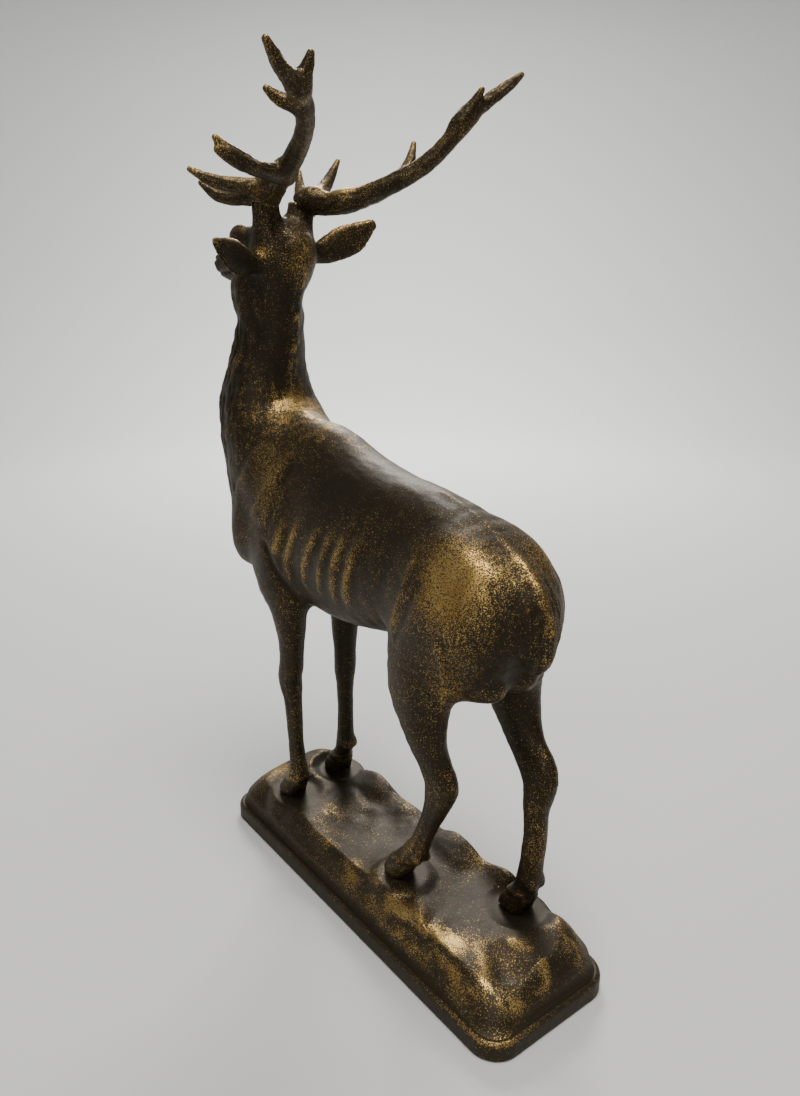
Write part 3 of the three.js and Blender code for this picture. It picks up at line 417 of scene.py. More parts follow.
def stag_limbs():
    limbs = [limb(TRUNK, UP, 10), limb(NECK, AHEAD, 14), limb(placed(FACE, SKULL), FACE @ UP, 14)]
    for s in (1, -1):
        limbs.append(muscle(on_face(28, s * 11, 9), (1, 0.1 * s, -0.2), (8, 5.5, 6.5), 4))
        limbs.append(muscle(on_face(63, s * 4.6, 0), (1, 0.3 * s, 0), (4, 2.6, 3.6), 3))
        limbs.append(muscle(on_face(14, s * 9.5, -8), (1, 0, 0.2), (11, 5.5, 9), 6))
    limbs.append(muscle(on_face(55, 0, -8.5), (1, 0, 0), (7, 5, 4), 4))
    limbs.append(muscle((111, 10.5, 290), (0.2, 0, 1), (14, 11.5, 12.5), 8))
    for centre, along, radii, blend in MUSCLES:
        for s in (1, -1):
            limbs.append(muscle((centre[0], s * centre[1], centre[2]), along, radii, blend))
    limbs += [limb(rows, AHEAD, 9) for rows in LEGS]
    for spot, fetlock in zip(HOOVES, FETLOCKS):
        limbs += hoof(*spot, fetlock)
    for s in (1, -1):
        limbs.append(limb(placed(HEAD, ear_rows(EAR, s)), HEAD @ UP, 5))
        limbs.append(rod(placed(TURN, sided(STUMP, s)), 6))
        limbs.append(muscle(on_face(EYE_AHEAD, s * 12.6, 2.6), (1, 0, 0), (3.7, 3.1, 3.3), 0.6))
    limbs.append(limb(TAIL, AHEAD, 4))
    return limbs


def seat_of(s):
    low, high = placed(TURN, [[SEAT[0], s * SEAT[1], SEAT[2]], [SEAT[0] - 1, s * (SEAT[1] + 1), SEAT[2] + 8]])
    low, high = np.array(low), np.array(high)
    return low, (high - low) / np.linalg.norm(high - low)


def carve(d, hollow, soft):
    """Takes a hollow out of a form, with a rim rounded by soft."""
    h = np.maximum(soft - np.abs(d + hollow), 0) / soft
    return np.maximum(d, -hollow) + h * h * soft / 4


EAR_HOLLOWS = [limb(placed(HEAD, ear_rows([
    [7.5, 23, -5, 1.4, 2.2, 2.8], [6, 28.5, -3.7, 2.2, 4, 6], [2, 37, -0.6, 2.2, 5, 7.6],
    [-3, 45, 3.2, 1.9, 3, 6.4], [-6.5, 50, 5.6, 1.2, 1.2, 2.4]], s)), HEAD @ UP, 1) for s in (1, -1)]


def stag_cut(p, d):
    for (x, y, rise, _) in HOOVES:
        under = (np.abs(p[:, 0] - x) < 13) & (np.abs(p[:, 1] - y) < 13) & (p[:, 2] < 12)
        d[under] = np.maximum(d[under], rise - p[under, 2])
    for s in (1, -1):
        seat, normal = seat_of(s)
        q = p - (seat - normal * SEAT_GAP)
        above = q @ normal
        near = (above > -4) & (above < 16) & (np.linalg.norm(q - above[:, None] * normal, axis=1) < 8.5)
        d[near] = np.maximum(d[near], above[near])
    for parts, _ in EAR_HOLLOWS:
        for centre, radius, far in parts:
            near = np.linalg.norm(p - centre, axis=1) < radius + 4
            if near.any():
                d[near] = carve(d[near], far(p[near]), 1.2)
    return d


def spaced(low, high, stops):
    """Grid coordinates from low to high; each stop is where a spacing ends."""
    out = [low]
    for end, size in [*stops, (high, stops[-1][1])]:
        count = max(0, round((min(end, high) - out[-1]) / size))
        out += list(out[-1] + size * np.arange(1, count + 1))
    return out


def make_stag():
    coarse = 0.0
    axes = [
        spaced(-112, 162, [(76, 1.42 + coarse), (162, 0.99 + coarse)]),
        spaced(-60, 60, [(-24, 1.36 + coarse), (24, 1.06 + coarse), (60, 1.36 + coarse)]),
        spaced(-3, 340, [(190, 1.52 + coarse), (286, 1.36 + coarse), (340, 0.82 + coarse)])]
    relief = Relief(*surface(stag_limbs(), axes, stag_cut))
    face_of_stag(relief)
    coat(relief)
    relief.settle()
    wear_and_painted_light_of_stag(relief)
    return relief


def face_of_stag(r):
    for s in (1, -1):
        r.bump(on_face(EYE_AHEAD, s * 15.5, 2.2), 3.0, 1.1)
        r.bump(on_face(30, s * 16, 9.5), 6.0, -1.3)
        upper = [on_face(EYE_AHEAD + 4.9 * math.cos(a), s * 15, 2.6 + 3.9 * math.sin(a))
                 for a in np.radians(np.arange(0, 181, 30))]
        r.line(upper, 1.0, 0.9)
        lower = [on_face(EYE_AHEAD + 4.7 * math.cos(a), s * 15, 2.4 - 3.2 * math.sin(a))
                 for a in np.radians(np.arange(0, 181, 36))]
        r.line(lower, 0.8, 0.5)
        r.line([on_face(35, s * 13, 1), on_face(39, s * 12, -1), on_face(43, s * 11, -2.5)], 1.0, -0.7)
        r.line([on_face(67.5, s * 5.5, 0.5), on_face(65.5, s * 7, 1.6), on_face(62.5, s * 7.4, 1)],
               1.2, -1.3)
        r.line([on_face(69, s * 2, -6.6), on_face(66, s * 5, -6.6), on_face(60, s * 7.5, -6.8),
                on_face(52, s * 8.5, -7.4), on_face(44, s * 9.5, -8.4)], 0.9, -0.9)
        r.line([on_face(14, s * 14, 6), on_face(10, s * 15, -2), on_face(14, s * 14, -12),
                on_face(24, s * 10, -14)], 2.2, -0.5)
    r.line([on_face(70, 0, -1), on_face(70, 0, -6)], 0.8, -0.6)


def coat(r):
    """Ribs, folds, sinews, the mane and the modeller's marks, read on the stag's own measure."""
    p = r.v
    flank = step(p[:, 2], 138, 150) * step(-p[:, 2], -186, -170)
    for s in (1, -1):
        ribs = [
            [(50, 29, 183), (57, 31, 171), (61, 32, 161)],
            [(37, 29, 184), (45, 31, 171), (52, 30, 158), (54, 27, 146)],
            [(21, 27, 187), (24, 29, 176), (30, 31, 165), (38, 29, 151), (40, 26, 140)],
            [(10, 27, 186), (14, 29, 174), (20, 30, 160), (25, 28, 147), (26, 24, 136)],
            [(0, 24, 188), (3, 28, 178), (6, 30, 166), (11, 30, 153), (14, 27, 141)],
            [(-10, 23, 188), (-8, 26, 177), (-5, 28, 166), (0, 29, 153), (3, 26, 142)]]
        for points in ribs:
            r.line([(x, s * y, z) for x, y, z in points], 3.2, 1.3, rub_and_painted_light=0.13, share=flank)
        r.line([(71, s * 32, 160), (64, s * 31, 148), (57, s * 29, 140), (53, s * 24, 131)], 2.4, -1.3)
        r.line([(-50, s * 28, 180), (-45, s * 30, 163), (-36, s * 27, 146)], 2.6, 0.9)
        r.line([(-57, s * 30, 172), (-49, s * 30, 156), (-41, s * 27, 143)], 2.0, -0.7)
        r.line([(86, s * 28, 212), (96, s * 30, 198), (106, s * 26, 186)], 2.2, -0.8)
        r.line([(60, s * 26, 212), (68, s * 28, 196), (82, s * 29, 176)], 3.0, 0.7)
        r.line([(56, s * 27, 205), (62, s * 29, 188), (70, s * 30, 168)], 3.0, -0.6)
        r.line([(-90, s * 18, 178), (-94, s * 17, 160), (-88, s * 18, 140), (-80, s * 22, 124)], 2.4, -0.6)
        r.line([(-70, s * 27, 150), (-72, s * 28, 134), (-70, s * 26, 116)], 2.4, 0.6)
    for rows, s in zip(LEGS, (1, -1, 1, -1)):
        low = [row for row in rows if row[2] < 95]
        r.line([(x - 2, y + s * w, z) for x, y, z, w, _, _ in low], 1.3, -0.45)
        r.line([(x + u, y + 0.4 * s, z) for x, y, z, _, u, _ in low], 1.6, 0.25)
    # Coronets: a ridge and a groove above each hoof, lower towards the toes
    for x, y, rise, turn in HOOVES:
        c, sn = math.cos(math.radians(turn)), math.sin(math.radians(turn))
        around = np.hypot(p[:, 0] - x, p[:, 1] - y) < 14
        level = p[:, 2] - rise + 0.25 * ((p[:, 0] - x) * c + (p[:, 1] - y) * sn)
        ridge, groove = np.exp(-((level - 11.2) / 1.1) ** 2), np.exp(-((level - 9.2) / 0.8) ** 2)
        r.h += around * (0.55 * ridge - 0.4 * groove)
    # Spine and tail ridge, its rubbed edge, and a groove on each side of the tail
    r.line([(-37, 0, 202), (-69, 0.5, 196), (-84, 0.5, 190), (-96, 0, 181), (-104, 0, 169), (-107, 0, 160),
            (-105, 0, 147)], 1.8, 0.8)
    r.line([(-82, 2.2, 191), (-96, 2, 181), (-104, 2.2, 169), (-107, 2.2, 160), (-105, 3, 147)],
           1.5, 0.0, rub_and_painted_light=0.3, share=0.6 + 0.6 * layered(p, (3, 3, 5), 73, 2))
    for s in (1, -1):
        r.line([(-97, s * 4.6, 179), (-104, s * 5.2, 166), (-105, s * 5, 150), (-101, s * 3, 139)], 1.2, -0.6)
    # Nape: a knobbly strip down the back of the neck
    nape = [(83, 0, 311), (86, -1, 292), (88, 0, 272), (87, 0, 252), (80, 0, 236), (66, 0, 225)]
    distance, near = off_line(p, r.snap(nape), 3.4)
    knob = 0.6 + 0.9 * layered(p[near], (2.6, 2.6, 4.2), 5, 2)
    r.h[near] += 0.8 * np.exp(-(distance / 3.4) ** 2) * knob
    r.rub_and_painted_light[near] += 0.24 * np.exp(-(distance / 4.2) ** 2) * np.clip(knob, 0.3, 1.2)
    # Mane: locks that hang down the throat and breast, weaker on the sides of the neck
    neck = step(p[:, 2], 196, 216) * step(-p[:, 2], -304, -286) * step(p[:, 0], 74, 86)
    front = step(p[:, 0] - 100 + 0.25 * (p[:, 2] - 230), -8, 14)
    breast = step(p[:, 0], 94, 110) * step(p[:, 2], 160, 180) * step(-p[:, 2], -236, -206)
    warp = np.stack([layered(p, (30, 30, 22), 31, 2), layered(p, (30, 30, 22), 37, 2)], 1) * 3.2
    q = np.stack([p[:, 0] + warp[:, 0], p[:, 1] + warp[:, 1], p[:, 2]], 1)
    lock = 1 - 2 * np.abs(layered(q, (5.2, 5.2, 26), 41, 1))
    hair = 1 - 2 * np.abs(layered(q, (2.4, 2.4, 20), 43, 1))
    r.h += (neck * (0.05 + 0.85 * front) + 0.6 * breast) * (0.8 * lock + 0.3 * hair)
    # Throat tufts that break the outline
    r.h += neck * front * 0.9 * layered(p, (8, 8, 9), 47, 2)
    # Crown of the head and stumps: coarse upright strokes
    crown = step(p[:, 2], 306, 324) * step(-p[:, 0], -112, -98)
    strokes = 1 - 2 * np.abs(layered(p, (2.0, 2.0, 12), 53, 2))
    r.h += crown * 0.3 * strokes
    # Tail hair
    tail = step(-p[:, 0], 97, 101) * step(p[:, 2], 134, 140) * step(-p[:, 2], -182, -172)
    r.h += tail * 0.35 * (1 - 2 * np.abs(layered(p, (2.2, 2.2, 14), 59, 2)))
    # Back: the steps between the body's rows are evened out
    back = step(p[:, 2], 190, 200) * step(-p[:, 0], -88, -74) * step(p[:, 0], -60, -20)
    r.h -= back * r.crest(18)
    # All over: slow unevenness of the cast, and short strokes of the coat
    r.h += 0.35 * layered(p, (16, 16, 16), 61, 2) + 0.12 * layered(p, (5, 2.6, 3), 67, 2)


# Worn places, and on the neck base and the haunch a painted highlight: centre, radii, how much more rub, and
# the direction that they face; a patch with a direction adds gold only on the side facing the lights
PATCHES = [
    [(89, 6, 232), (8, 11, 7), 0.36, (-0.8, 0.4, 0.4)], [(84, 8, 222), (16, 16, 9), 0.14, (-0.8, 0.4, 0.4)],
    [(-74, 27, 178), (18, 16, 16), 0.27, (-0.3, 0.8, 0.5)], [(-74, 26, 163), (24, 18, 26), 0.16, None],
    [(-90, 12, 184), (10, 10, 9), 0.12, None], [(-71, 25, 128), (9, 12, 13), 0.16, None],
    [(70, 29, 198), (30, 16, 24), 0.16, None], [(36, 30, 170), (26, 16, 16), 0.08, None],
    [(-40, 29, 152), (6, 8, 9), 0.14, None], [(88, 17, 309), (5, 5, 4), 0.4, None],
    [(82, 3, 304), (4, 5, 7), 0.24, None],
    [(-59, 22, 74), (9, 8, 12), 0.14, None], [(-40, 18, 26), (12, 8, 16), 0.16, None],
    [(-88, -16, 44), (8, 9, 28), 0.14, None], [(-30, 18, 12), (9, 8, 8), 0.1, None],
    [(75, 20, 76), (9, 8, 9), 0.1, None], [(74, 20, 16), (8, 8, 13), 0.14, None]]
# Darker places, with how much less rub: the two under the chest and belly are painted shade; the others darken
# the back, the neck and the rump beside the tail
DULL_AND_SHADE = [
    [(28, 13, 200), (36, 18, 16), 0.16], [(-22, 10, 198), (34, 16, 14), 0.12],
    [(100, 4, 262), (26, 24, 30), 0.09], [(-97, 14, 163), (12, 9, 18), 0.13],
    [(74, -4, 130), (40, 12, 40), 0.08], [(-40, 0, 130), (50, 14, 24), 0.08]]
RUB_CAP = 0.66


def wear_and_painted_light_of_stag(r):
    # Gold patches; those with a facing are partly painted highlight, gold only on the sides that face the
    # lights
    for centre, radii, rub_and_painted_light, facing in PATCHES:
        r.patch(centre, radii, rub_and_painted_light, facing)
        mirrored = (centre[0], -centre[1], centre[2])
        if abs(centre[1]) > 5:
            r.patch(mirrored, radii, 0.75 * rub_and_painted_light, facing and (facing[0], -facing[1], facing[2]))
    for s in (1, -1):
        rim = placed(HEAD, ear_rows([[3, 24, 3, 0], [-1, 34, 8, 0], [-5, 44, 8.6, 0], [-9.5, 53.5, 7, 0]], s))
        r.line([row[:3] for row in rim], 3, 0, rub_and_painted_light=0.14)
    r.patch(placed(HEAD, ear_rows([[-2, 38, 1]], -1))[0], (12, 12, 9), 0.14)
    r.rub_and_painted_light += 0.22 + 0.12 * np.clip(r.crest(3) / 0.35, -1, 1) + 0.08 * np.clip(r.crest(14) / 1.2, -1, 1)
    # The step on the normal's height is a painted highlight: more gold on upward-facing surfaces
    r.rub_and_painted_light += 0.08 * layered(r.v, (18, 18, 18), 71, 2) + 0.07 * step(r.n[:, 2], -0.2, 0.9)
    streaks = layered(r.v, (3, 3, 9), 79, 2) * step(r.v[:, 2], 205, 222) * step(-r.v[:, 2], -262, -240)
    # The streaks add gold on the neck; the last term takes gold away below about 100 mm, so the lower legs are
    # darker towards the bottom
    r.rub_and_painted_light += 0.16 * streaks - 0.07 * step(-r.v[:, 2], -116, -92)
    r.rub_and_painted_light = np.minimum(r.rub_and_painted_light, RUB_CAP)
    # Takes gold away at the darker places; under the chest and belly this is painted shade
    for centre, radii, less in DULL_AND_SHADE:
        r.patch(centre, radii, -less)


# Antlers, level with the head's turn: ahead, out, up, and the radius
LEFT_TINES = [
    [[2.6, 12.2, 16, 6.2], [-1, 12.6, 23.5, 7], [-10, 15, 28, 6.2], [-24, 20, 31.5, 5.2], [-44, 29, 38.8, 4.5],
     [-61, 39, 45.5, 4.1], [-71, 48.4, 52, 4.2], [-76, 55, 56.5, 4.4]],
    [[0, 12.5, 23, 4.6], [12, 20.5, 21, 3.8], [22, 27, 22.4, 3.1], [29.6, 32, 29, 1.5]],
    [[-5, 14, 25.5, 5], [2, 26, 26, 4.2], [9, 38, 27.8, 3.4], [15.3, 47.5, 33, 1.6]],
    [[-22, 19, 30.8, 5.6], [-27, 35, 29.8, 4.1], [-30, 50, 32.4, 3.6], [-27.5, 62, 41.3, 1.6]],
    [[-29, 50, 32.5, 3], [-29, 58, 34.3, 2.5], [-27.5, 61.5, 36, 1.4]],
    [[-68, 46.5, 51, 3.6], [-64, 54.6, 53, 3], [-62, 60, 56.6, 1.7]],
    [[-76, 54.6, 56.5, 3.8], [-80, 54, 62, 2.9], [-82, 53.2, 67.8, 1.7]],
    [[-76, 55, 55.5, 4], [-81.4, 68, 60.4, 3.2], [-85.4, 78, 67.8, 1.7]]]
RIGHT_TINES = [
    [[2.6, 12.2, 16, 6.2], [-1, 12.6, 22, 7], [-10, 15, 21.2, 6], [-22.4, 19.6, 21.4, 5.4],
     [-42.5, 28.6, 28, 4.9], [-60.6, 38.8, 38.2, 4.3], [-71.4, 47.3, 51.2, 4.1], [-76, 51.8, 58.6, 3.9]],
    [[0, 12.5, 23, 4.6], [12, 19, 24, 4], [21, 26, 30.5, 3.1], [27.3, 31, 41, 1.4]],
    [[-5, 13, 24, 5], [3, 24.5, 27.5, 4], [8.5, 36, 35.5, 3], [12.4, 46.6, 46.6, 1.4]],
    [[-22, 18, 22.5, 5], [-31, 33, 25.5, 4.3], [-36, 50, 37.5, 3.4], [-31, 61.5, 52.6, 1.5]],
    [[-72, 47.5, 54, 3.6], [-78.5, 50.5, 62.6, 2.8], [-83, 53, 70.4, 1.5]],
    [[-74, 49.5, 57, 3.9], [-81.5, 60, 66.8, 3.3], [-86.5, 69.5, 74.3, 2.8], [-89, 75.8, 79.3, 1.6]]]


def make_antler(s):
    tines = [placed(TURN, sided(rows, s)) for rows in (LEFT_TINES if s > 0 else RIGHT_TINES)]
    seat, normal = seat_of(s)
    stump, _ = rod(placed(TURN, sided(STUMP, s)), 6)

    def cut(p, d):
        above = (p - seat) @ normal
        near = np.linalg.norm(p - seat, axis=1) < 22
        inside = np.min([far(p[near]) for _, _, far in stump], axis=0)
        taken = np.maximum(inside, above[near] + SEAT_GAP) - SEAT_GAP
        d[near] = np.maximum(d[near], -taken)
        return d

    ends = np.array([row[:3] for rows in tines for row in rows])
    size = 0.72
    spare = 9
    axes = [spaced(low - spare, high + spare, [(high + spare, size)])
            for low, high in zip(ends.min(0), ends.max(0))]
    r = Relief(*surface([rod(rows, 4) for rows in tines], axes, cut))
    # Where each vertex lies: along its tine, and round it
    best = np.full(len(r.v), FAR)
    along, turn, tip = np.zeros(len(r.v)), np.zeros(len(r.v)), np.zeros(len(r.v))
    for k, rows in enumerate(tines):
        fine = smooth_rows(rows, 4)
        run = 0.0
        whole = np.linalg.norm(np.diff(fine[:, :3], axis=0), axis=1).sum()
        for a, b in zip(fine, fine[1:]):
            t3 = b[:3] - a[:3]
            length = np.linalg.norm(t3)
            t3 = t3 / length
            v = r.v - a[:3]
            t = np.clip(v @ t3 / length, 0, 1)
            v = v - t[:, None] * t3 * length
            d = np.linalg.norm(v, axis=1) - (a[3] + (b[3] - a[3]) * t)
            closer = d < best
            up = UP - t3 * t3[2]
            up /= np.linalg.norm(up)
            best[closer] = d[closer]
            along[closer] = (run + t * length)[closer] + 40 * k
            tip[closer] = ((run + t * length) / whole)[closer]
            turn[closer] = np.arctan2(v @ np.cross(t3, up), v @ up)[closer]
            run += length
    wave = 0.9 * layered(np.stack([along / 14, turn, turn * 0], 1), (1, 1, 1), 3, 2)
    grooves = np.abs(np.sin(2.5 * turn + wave)) ** 0.7
    bark = layered(r.v, (2.6, 2.6, 2.6), 11, 2)
    rough = 1 - step(tip, 0.72, 0.95)
    r.h += rough * (0.45 * (grooves - 0.6) + 0.22 * bark)
    burr = np.exp(-(((r.v - seat) @ normal - 2.4) / 1.7) ** 2) * (np.linalg.norm(r.v - seat, axis=1) < 12)
    r.h += burr * (0.4 + 0.6 * layered(r.v, (2.4, 2.4, 2.4), 13, 1))
    r.settle()
    # The step on the normal's height is a painted highlight: more gold on the upward-facing sides; the crest
    # term is rub on raised places
    r.rub_and_painted_light += 0.28 + 0.12 * step(r.n[:, 2], 0.1, 0.9) + 0.1 * np.clip(r.crest(2) / 0.2, -1, 1)
    r.rub_and_painted_light += 0.1 * step(tip, 0.8, 1) + 0.1 * layered(r.v, (12, 12, 12), 17, 2)
    # A painted highlight: more gold on the upper side of the right antler's beam
    if s < 0:
        middle = placed(TURN, sided([[-20, 19, 28]], s))[0]
        r.patch(middle, (20, 12, 12), 0.22, (0, 0, 1))
    return r


# Base: rings of a rounded rectangle, from the flat underside up the moulded foot and over the rock
HALF_LENGTH, HALF_WIDTH = 120.5, 39.0
PLINTH_HEIGHT, PLINTH_LEDGE, PLINTH_ROUND, ROCK_RISE, CORNER = 10.5, 3.6, 1.3, 17.5, 14.0
LUMPS = [
    (-0.2, 0.35, 20, 3.5), (-0.72, -0.1, 18, 2.5), (-0.88, 0.45, 12, -3), (0.3, 0.1, 22, -2.5),
    (0.75, 0, 22, 1.5), (-0.45, 0.7, 12, 2), (0.12, -0.72, 17, 4.5), (0.5, 0.75, 12, 1.5),
    (-0.2, -0.8, 16, 7.5), (-0.5, -0.85, 13, 7.5), (-0.84, -0.75, 14, 5), (0.42, -0.8, 20, 7),
    (0.84, -0.35, 16, 3)]
BASE_PATCHES = [
    ((-30, 27), (17, 8), 0.3), ((-78, 26), (13, 9), 0.3), ((-92, 32), (8, 6), 0.22), ((-52, 30), (12, 7), 0.28),
    ((26, 26), (10, 8), 0.2), ((0, 30), (10, 7), 0.24), ((-106, -22), (9, 8), 0.24), ((48, 10), (12, 9), 0.14),
    ((-40, -26), (14, 8), 0.14), ((20, -28), (14, 8), 0.14), ((86, -28), (12, 7), 0.1),
    ((104, 10), (8, 14), 0.12)]
PAD_FLAT, PAD_FADE = 12, 19
DISH_CENTRE, DISH_RADII, DISH_DEPTH, DISH_RIM = (-103, 11), (15, 12), 0.9, 0.25


def rock_height(x, y, inset):
    shoulder = step(inset, PLINTH_LEDGE - 6, PLINTH_LEDGE + 9)
    z = PLINTH_HEIGHT + ROCK_RISE * shoulder
    for lx, ly, size, rise in LUMPS:
        away = (x - lx * HALF_LENGTH) ** 2 + (y - ly * HALF_WIDTH) ** 2
        z = z + shoulder * rise * np.exp(-away / size ** 2)
    flat = np.zeros(len(x))
    for hx, hy, rise, _ in HOOVES:
        share = 1 - step(np.hypot(x - hx, y - hy), PAD_FLAT, PAD_FADE)
        z = z + (GROUND + rise - SEAT_GAP - z) * share
        flat = np.maximum(flat, share)
    return z, flat


def outline(inset, corner, count):
    """Points round a rounded rectangle, the same shares of each straight and corner at every inset."""
    radius = min(corner, 0.8 * (HALF_WIDTH - inset))
    a, b = HALF_LENGTH - inset - radius, HALF_WIDTH - inset - radius
    arc, long, short = count
    points = []
    for n, (cx, cy) in enumerate([(a, b), (-a, b), (-a, -b), (a, -b)]):
        angles = (n + np.arange(arc) / arc) * math.pi / 2
        points += list(zip(cx + radius * np.cos(angles), cy + radius * np.sin(angles)))
        end = (n + 1) * math.pi / 2
        nx, ny = [(-a, b), (-a, -b), (a, -b), (a, b)][n]
        start = np.array([cx + radius * math.cos(end), cy + radius * math.sin(end)])
        stop = np.array([nx + radius * math.cos(end), ny + radius * math.sin(end)])
        steps = long if n % 2 == 0 else short
        points += [tuple(start + (stop - start) * i / steps) for i in range(steps)]
    return np.array(points)


def make_base():
    count = ((20, 210, 50))
    rows = 48
    profile = [
        (HALF_WIDTH - 2, 0), (HALF_WIDTH * 0.6, 0), (8, 0), (PLINTH_ROUND, 0), (0.6, 0.12), (0.25, 0.35),
        (0.06, 0.8), (0, PLINTH_ROUND), (0, 3), (0, 5), (0, PLINTH_HEIGHT - 3.2), (0.06, PLINTH_HEIGHT - 2.6),
        (0.3, PLINTH_HEIGHT - 1.8), (0.75, PLINTH_HEIGHT - 1.1), (1.4, PLINTH_HEIGHT - 0.7),
        (2.1, PLINTH_HEIGHT - 0.6), (2.7, PLINTH_HEIGHT - 0.75), (3.1, PLINTH_HEIGHT - 0.9)]
    rings, rock_of = [], []
    for inset, z in profile:
        xy = outline(inset, CORNER - min(inset, 3), count)
        rings.append(np.column_stack([xy, np.full(len(xy), float(z))]))
        rock_of.append(np.zeros(len(xy)))
    innermost = HALF_WIDTH - 1.2
    for share in np.arange(rows + 1) / rows:
        inset = PLINTH_LEDGE + (innermost - PLINTH_LEDGE) * (0.7 * share + 0.3 * share * share)
        xy = outline(inset, CORNER + 0.5 * inset, count)
        z, flat = rock_height(xy[:, 0], xy[:, 1], inset)
        rings.append(np.column_stack([xy, z]))
        rock_of.append((1 - flat) * step(np.full(len(xy), inset), PLINTH_LEDGE - 0.5, PLINTH_LEDGE + 3))
    around = len(rings[0])
    i = np.arange(around)
    j = (i + 1) % around
    faces = [np.stack([r * around + i, r * around + j, (r + 1) * around + j, (r + 1) * around + i], 1)
             for r in range(len(rings) - 1)]
    last = (len(rings) - 1) * around
    faces = np.concatenate([*faces, lid(count, last), lid(count, 0)[:, ::-1]])
    r = Relief(np.concatenate(rings), faces)
    rock = np.concatenate(rock_of)
    p = r.v
    broad = layered(p, (24, 18, 18), 83, 2)
    facets = 1 - 2 * np.abs(layered(p + 5 * broad[:, None], (26, 19, 19), 89, 1))
    r.h += rock * (0.9 * broad - 0.8 * step(facets, 0.0, 1.0) + 0.1 * layered(p, (5, 5, 5), 97, 2))
    dish = np.hypot((p[:, 0] - DISH_CENTRE[0]) / DISH_RADII[0], (p[:, 1] - DISH_CENTRE[1]) / DISH_RADII[1])
    r.h += rock * (DISH_RIM * np.exp(-((dish - 1) / 0.35) ** 2) - DISH_DEPTH * (1 - step(dish, 0.2, 1)))
    r.h += 0.05 * layered(p, (3, 3, 3), 101, 2) * (p[:, 2] > 0.5)
    r.settle()
    r.v[:, 2] = np.clip(r.v[:, 2], 0, None)
    for (x, y), (rx, ry), rub_and_painted_light in BASE_PATCHES:
        r.patch((x, y, 26), (rx, ry, 12), 1.2 * rub_and_painted_light)
    r.rub_and_painted_light *= np.clip(1.1 + 1.4 * layered(p, (13, 5, 7), 107, 2), 0.1, 2.0)
    crescent = step(p[:, 1] - 0.6 * (p[:, 0] - DISH_CENTRE[0]), -20, 6)
    crescent = crescent * np.clip(0.75 + 1.3 * layered(p, (8, 6, 6), 109, 2), 0.1, 1.2)
    ring = np.exp(-((dish - 1.1) / 0.26) ** 2)
    r.rub_and_painted_light += rock * (0.38 * ring * crescent + 0.14 * np.exp(-(dish / 0.7) ** 2))
    foot = 1 - rock > 0.999
    edge = np.exp(-((p[:, 2] - PLINTH_HEIGHT + 1.2) / 1.4) ** 2) * foot
    r.rub_and_painted_light += edge * (0.04 + 0.3 * np.exp(-((p[:, 0] + 118) / 30) ** 2) * step(p[:, 1], 0, 34))
    fine_crest, broad_crest = np.clip(r.crest(3) / 0.3, -1, 1), np.clip(r.crest(16) / 1.5, -1, 1)
    r.rub_and_painted_light += 0.12 + 0.07 * rock + 0.08 * fine_crest + 0.12 * broad_crest
    r.rub_and_painted_light += rock * 0.1 * layered(p, (20, 14, 14), 103, 2)
    r.rub_and_painted_light = np.minimum(r.rub_and_painted_light, RUB_CAP)
    return r


def lid(count, first):
    """Closes a ring with quads between facing points; the two end quads have a doubled point."""
    arc, long, short = count
    total = 4 * arc + 2 * long + 2 * short
    k = np.arange(total // 2 + 1)
    up, down = k - short // 2, -k - short // 2
    return np.stack([up[:-1], up[1:], down[1:], down[:-1]], 1) % total + first


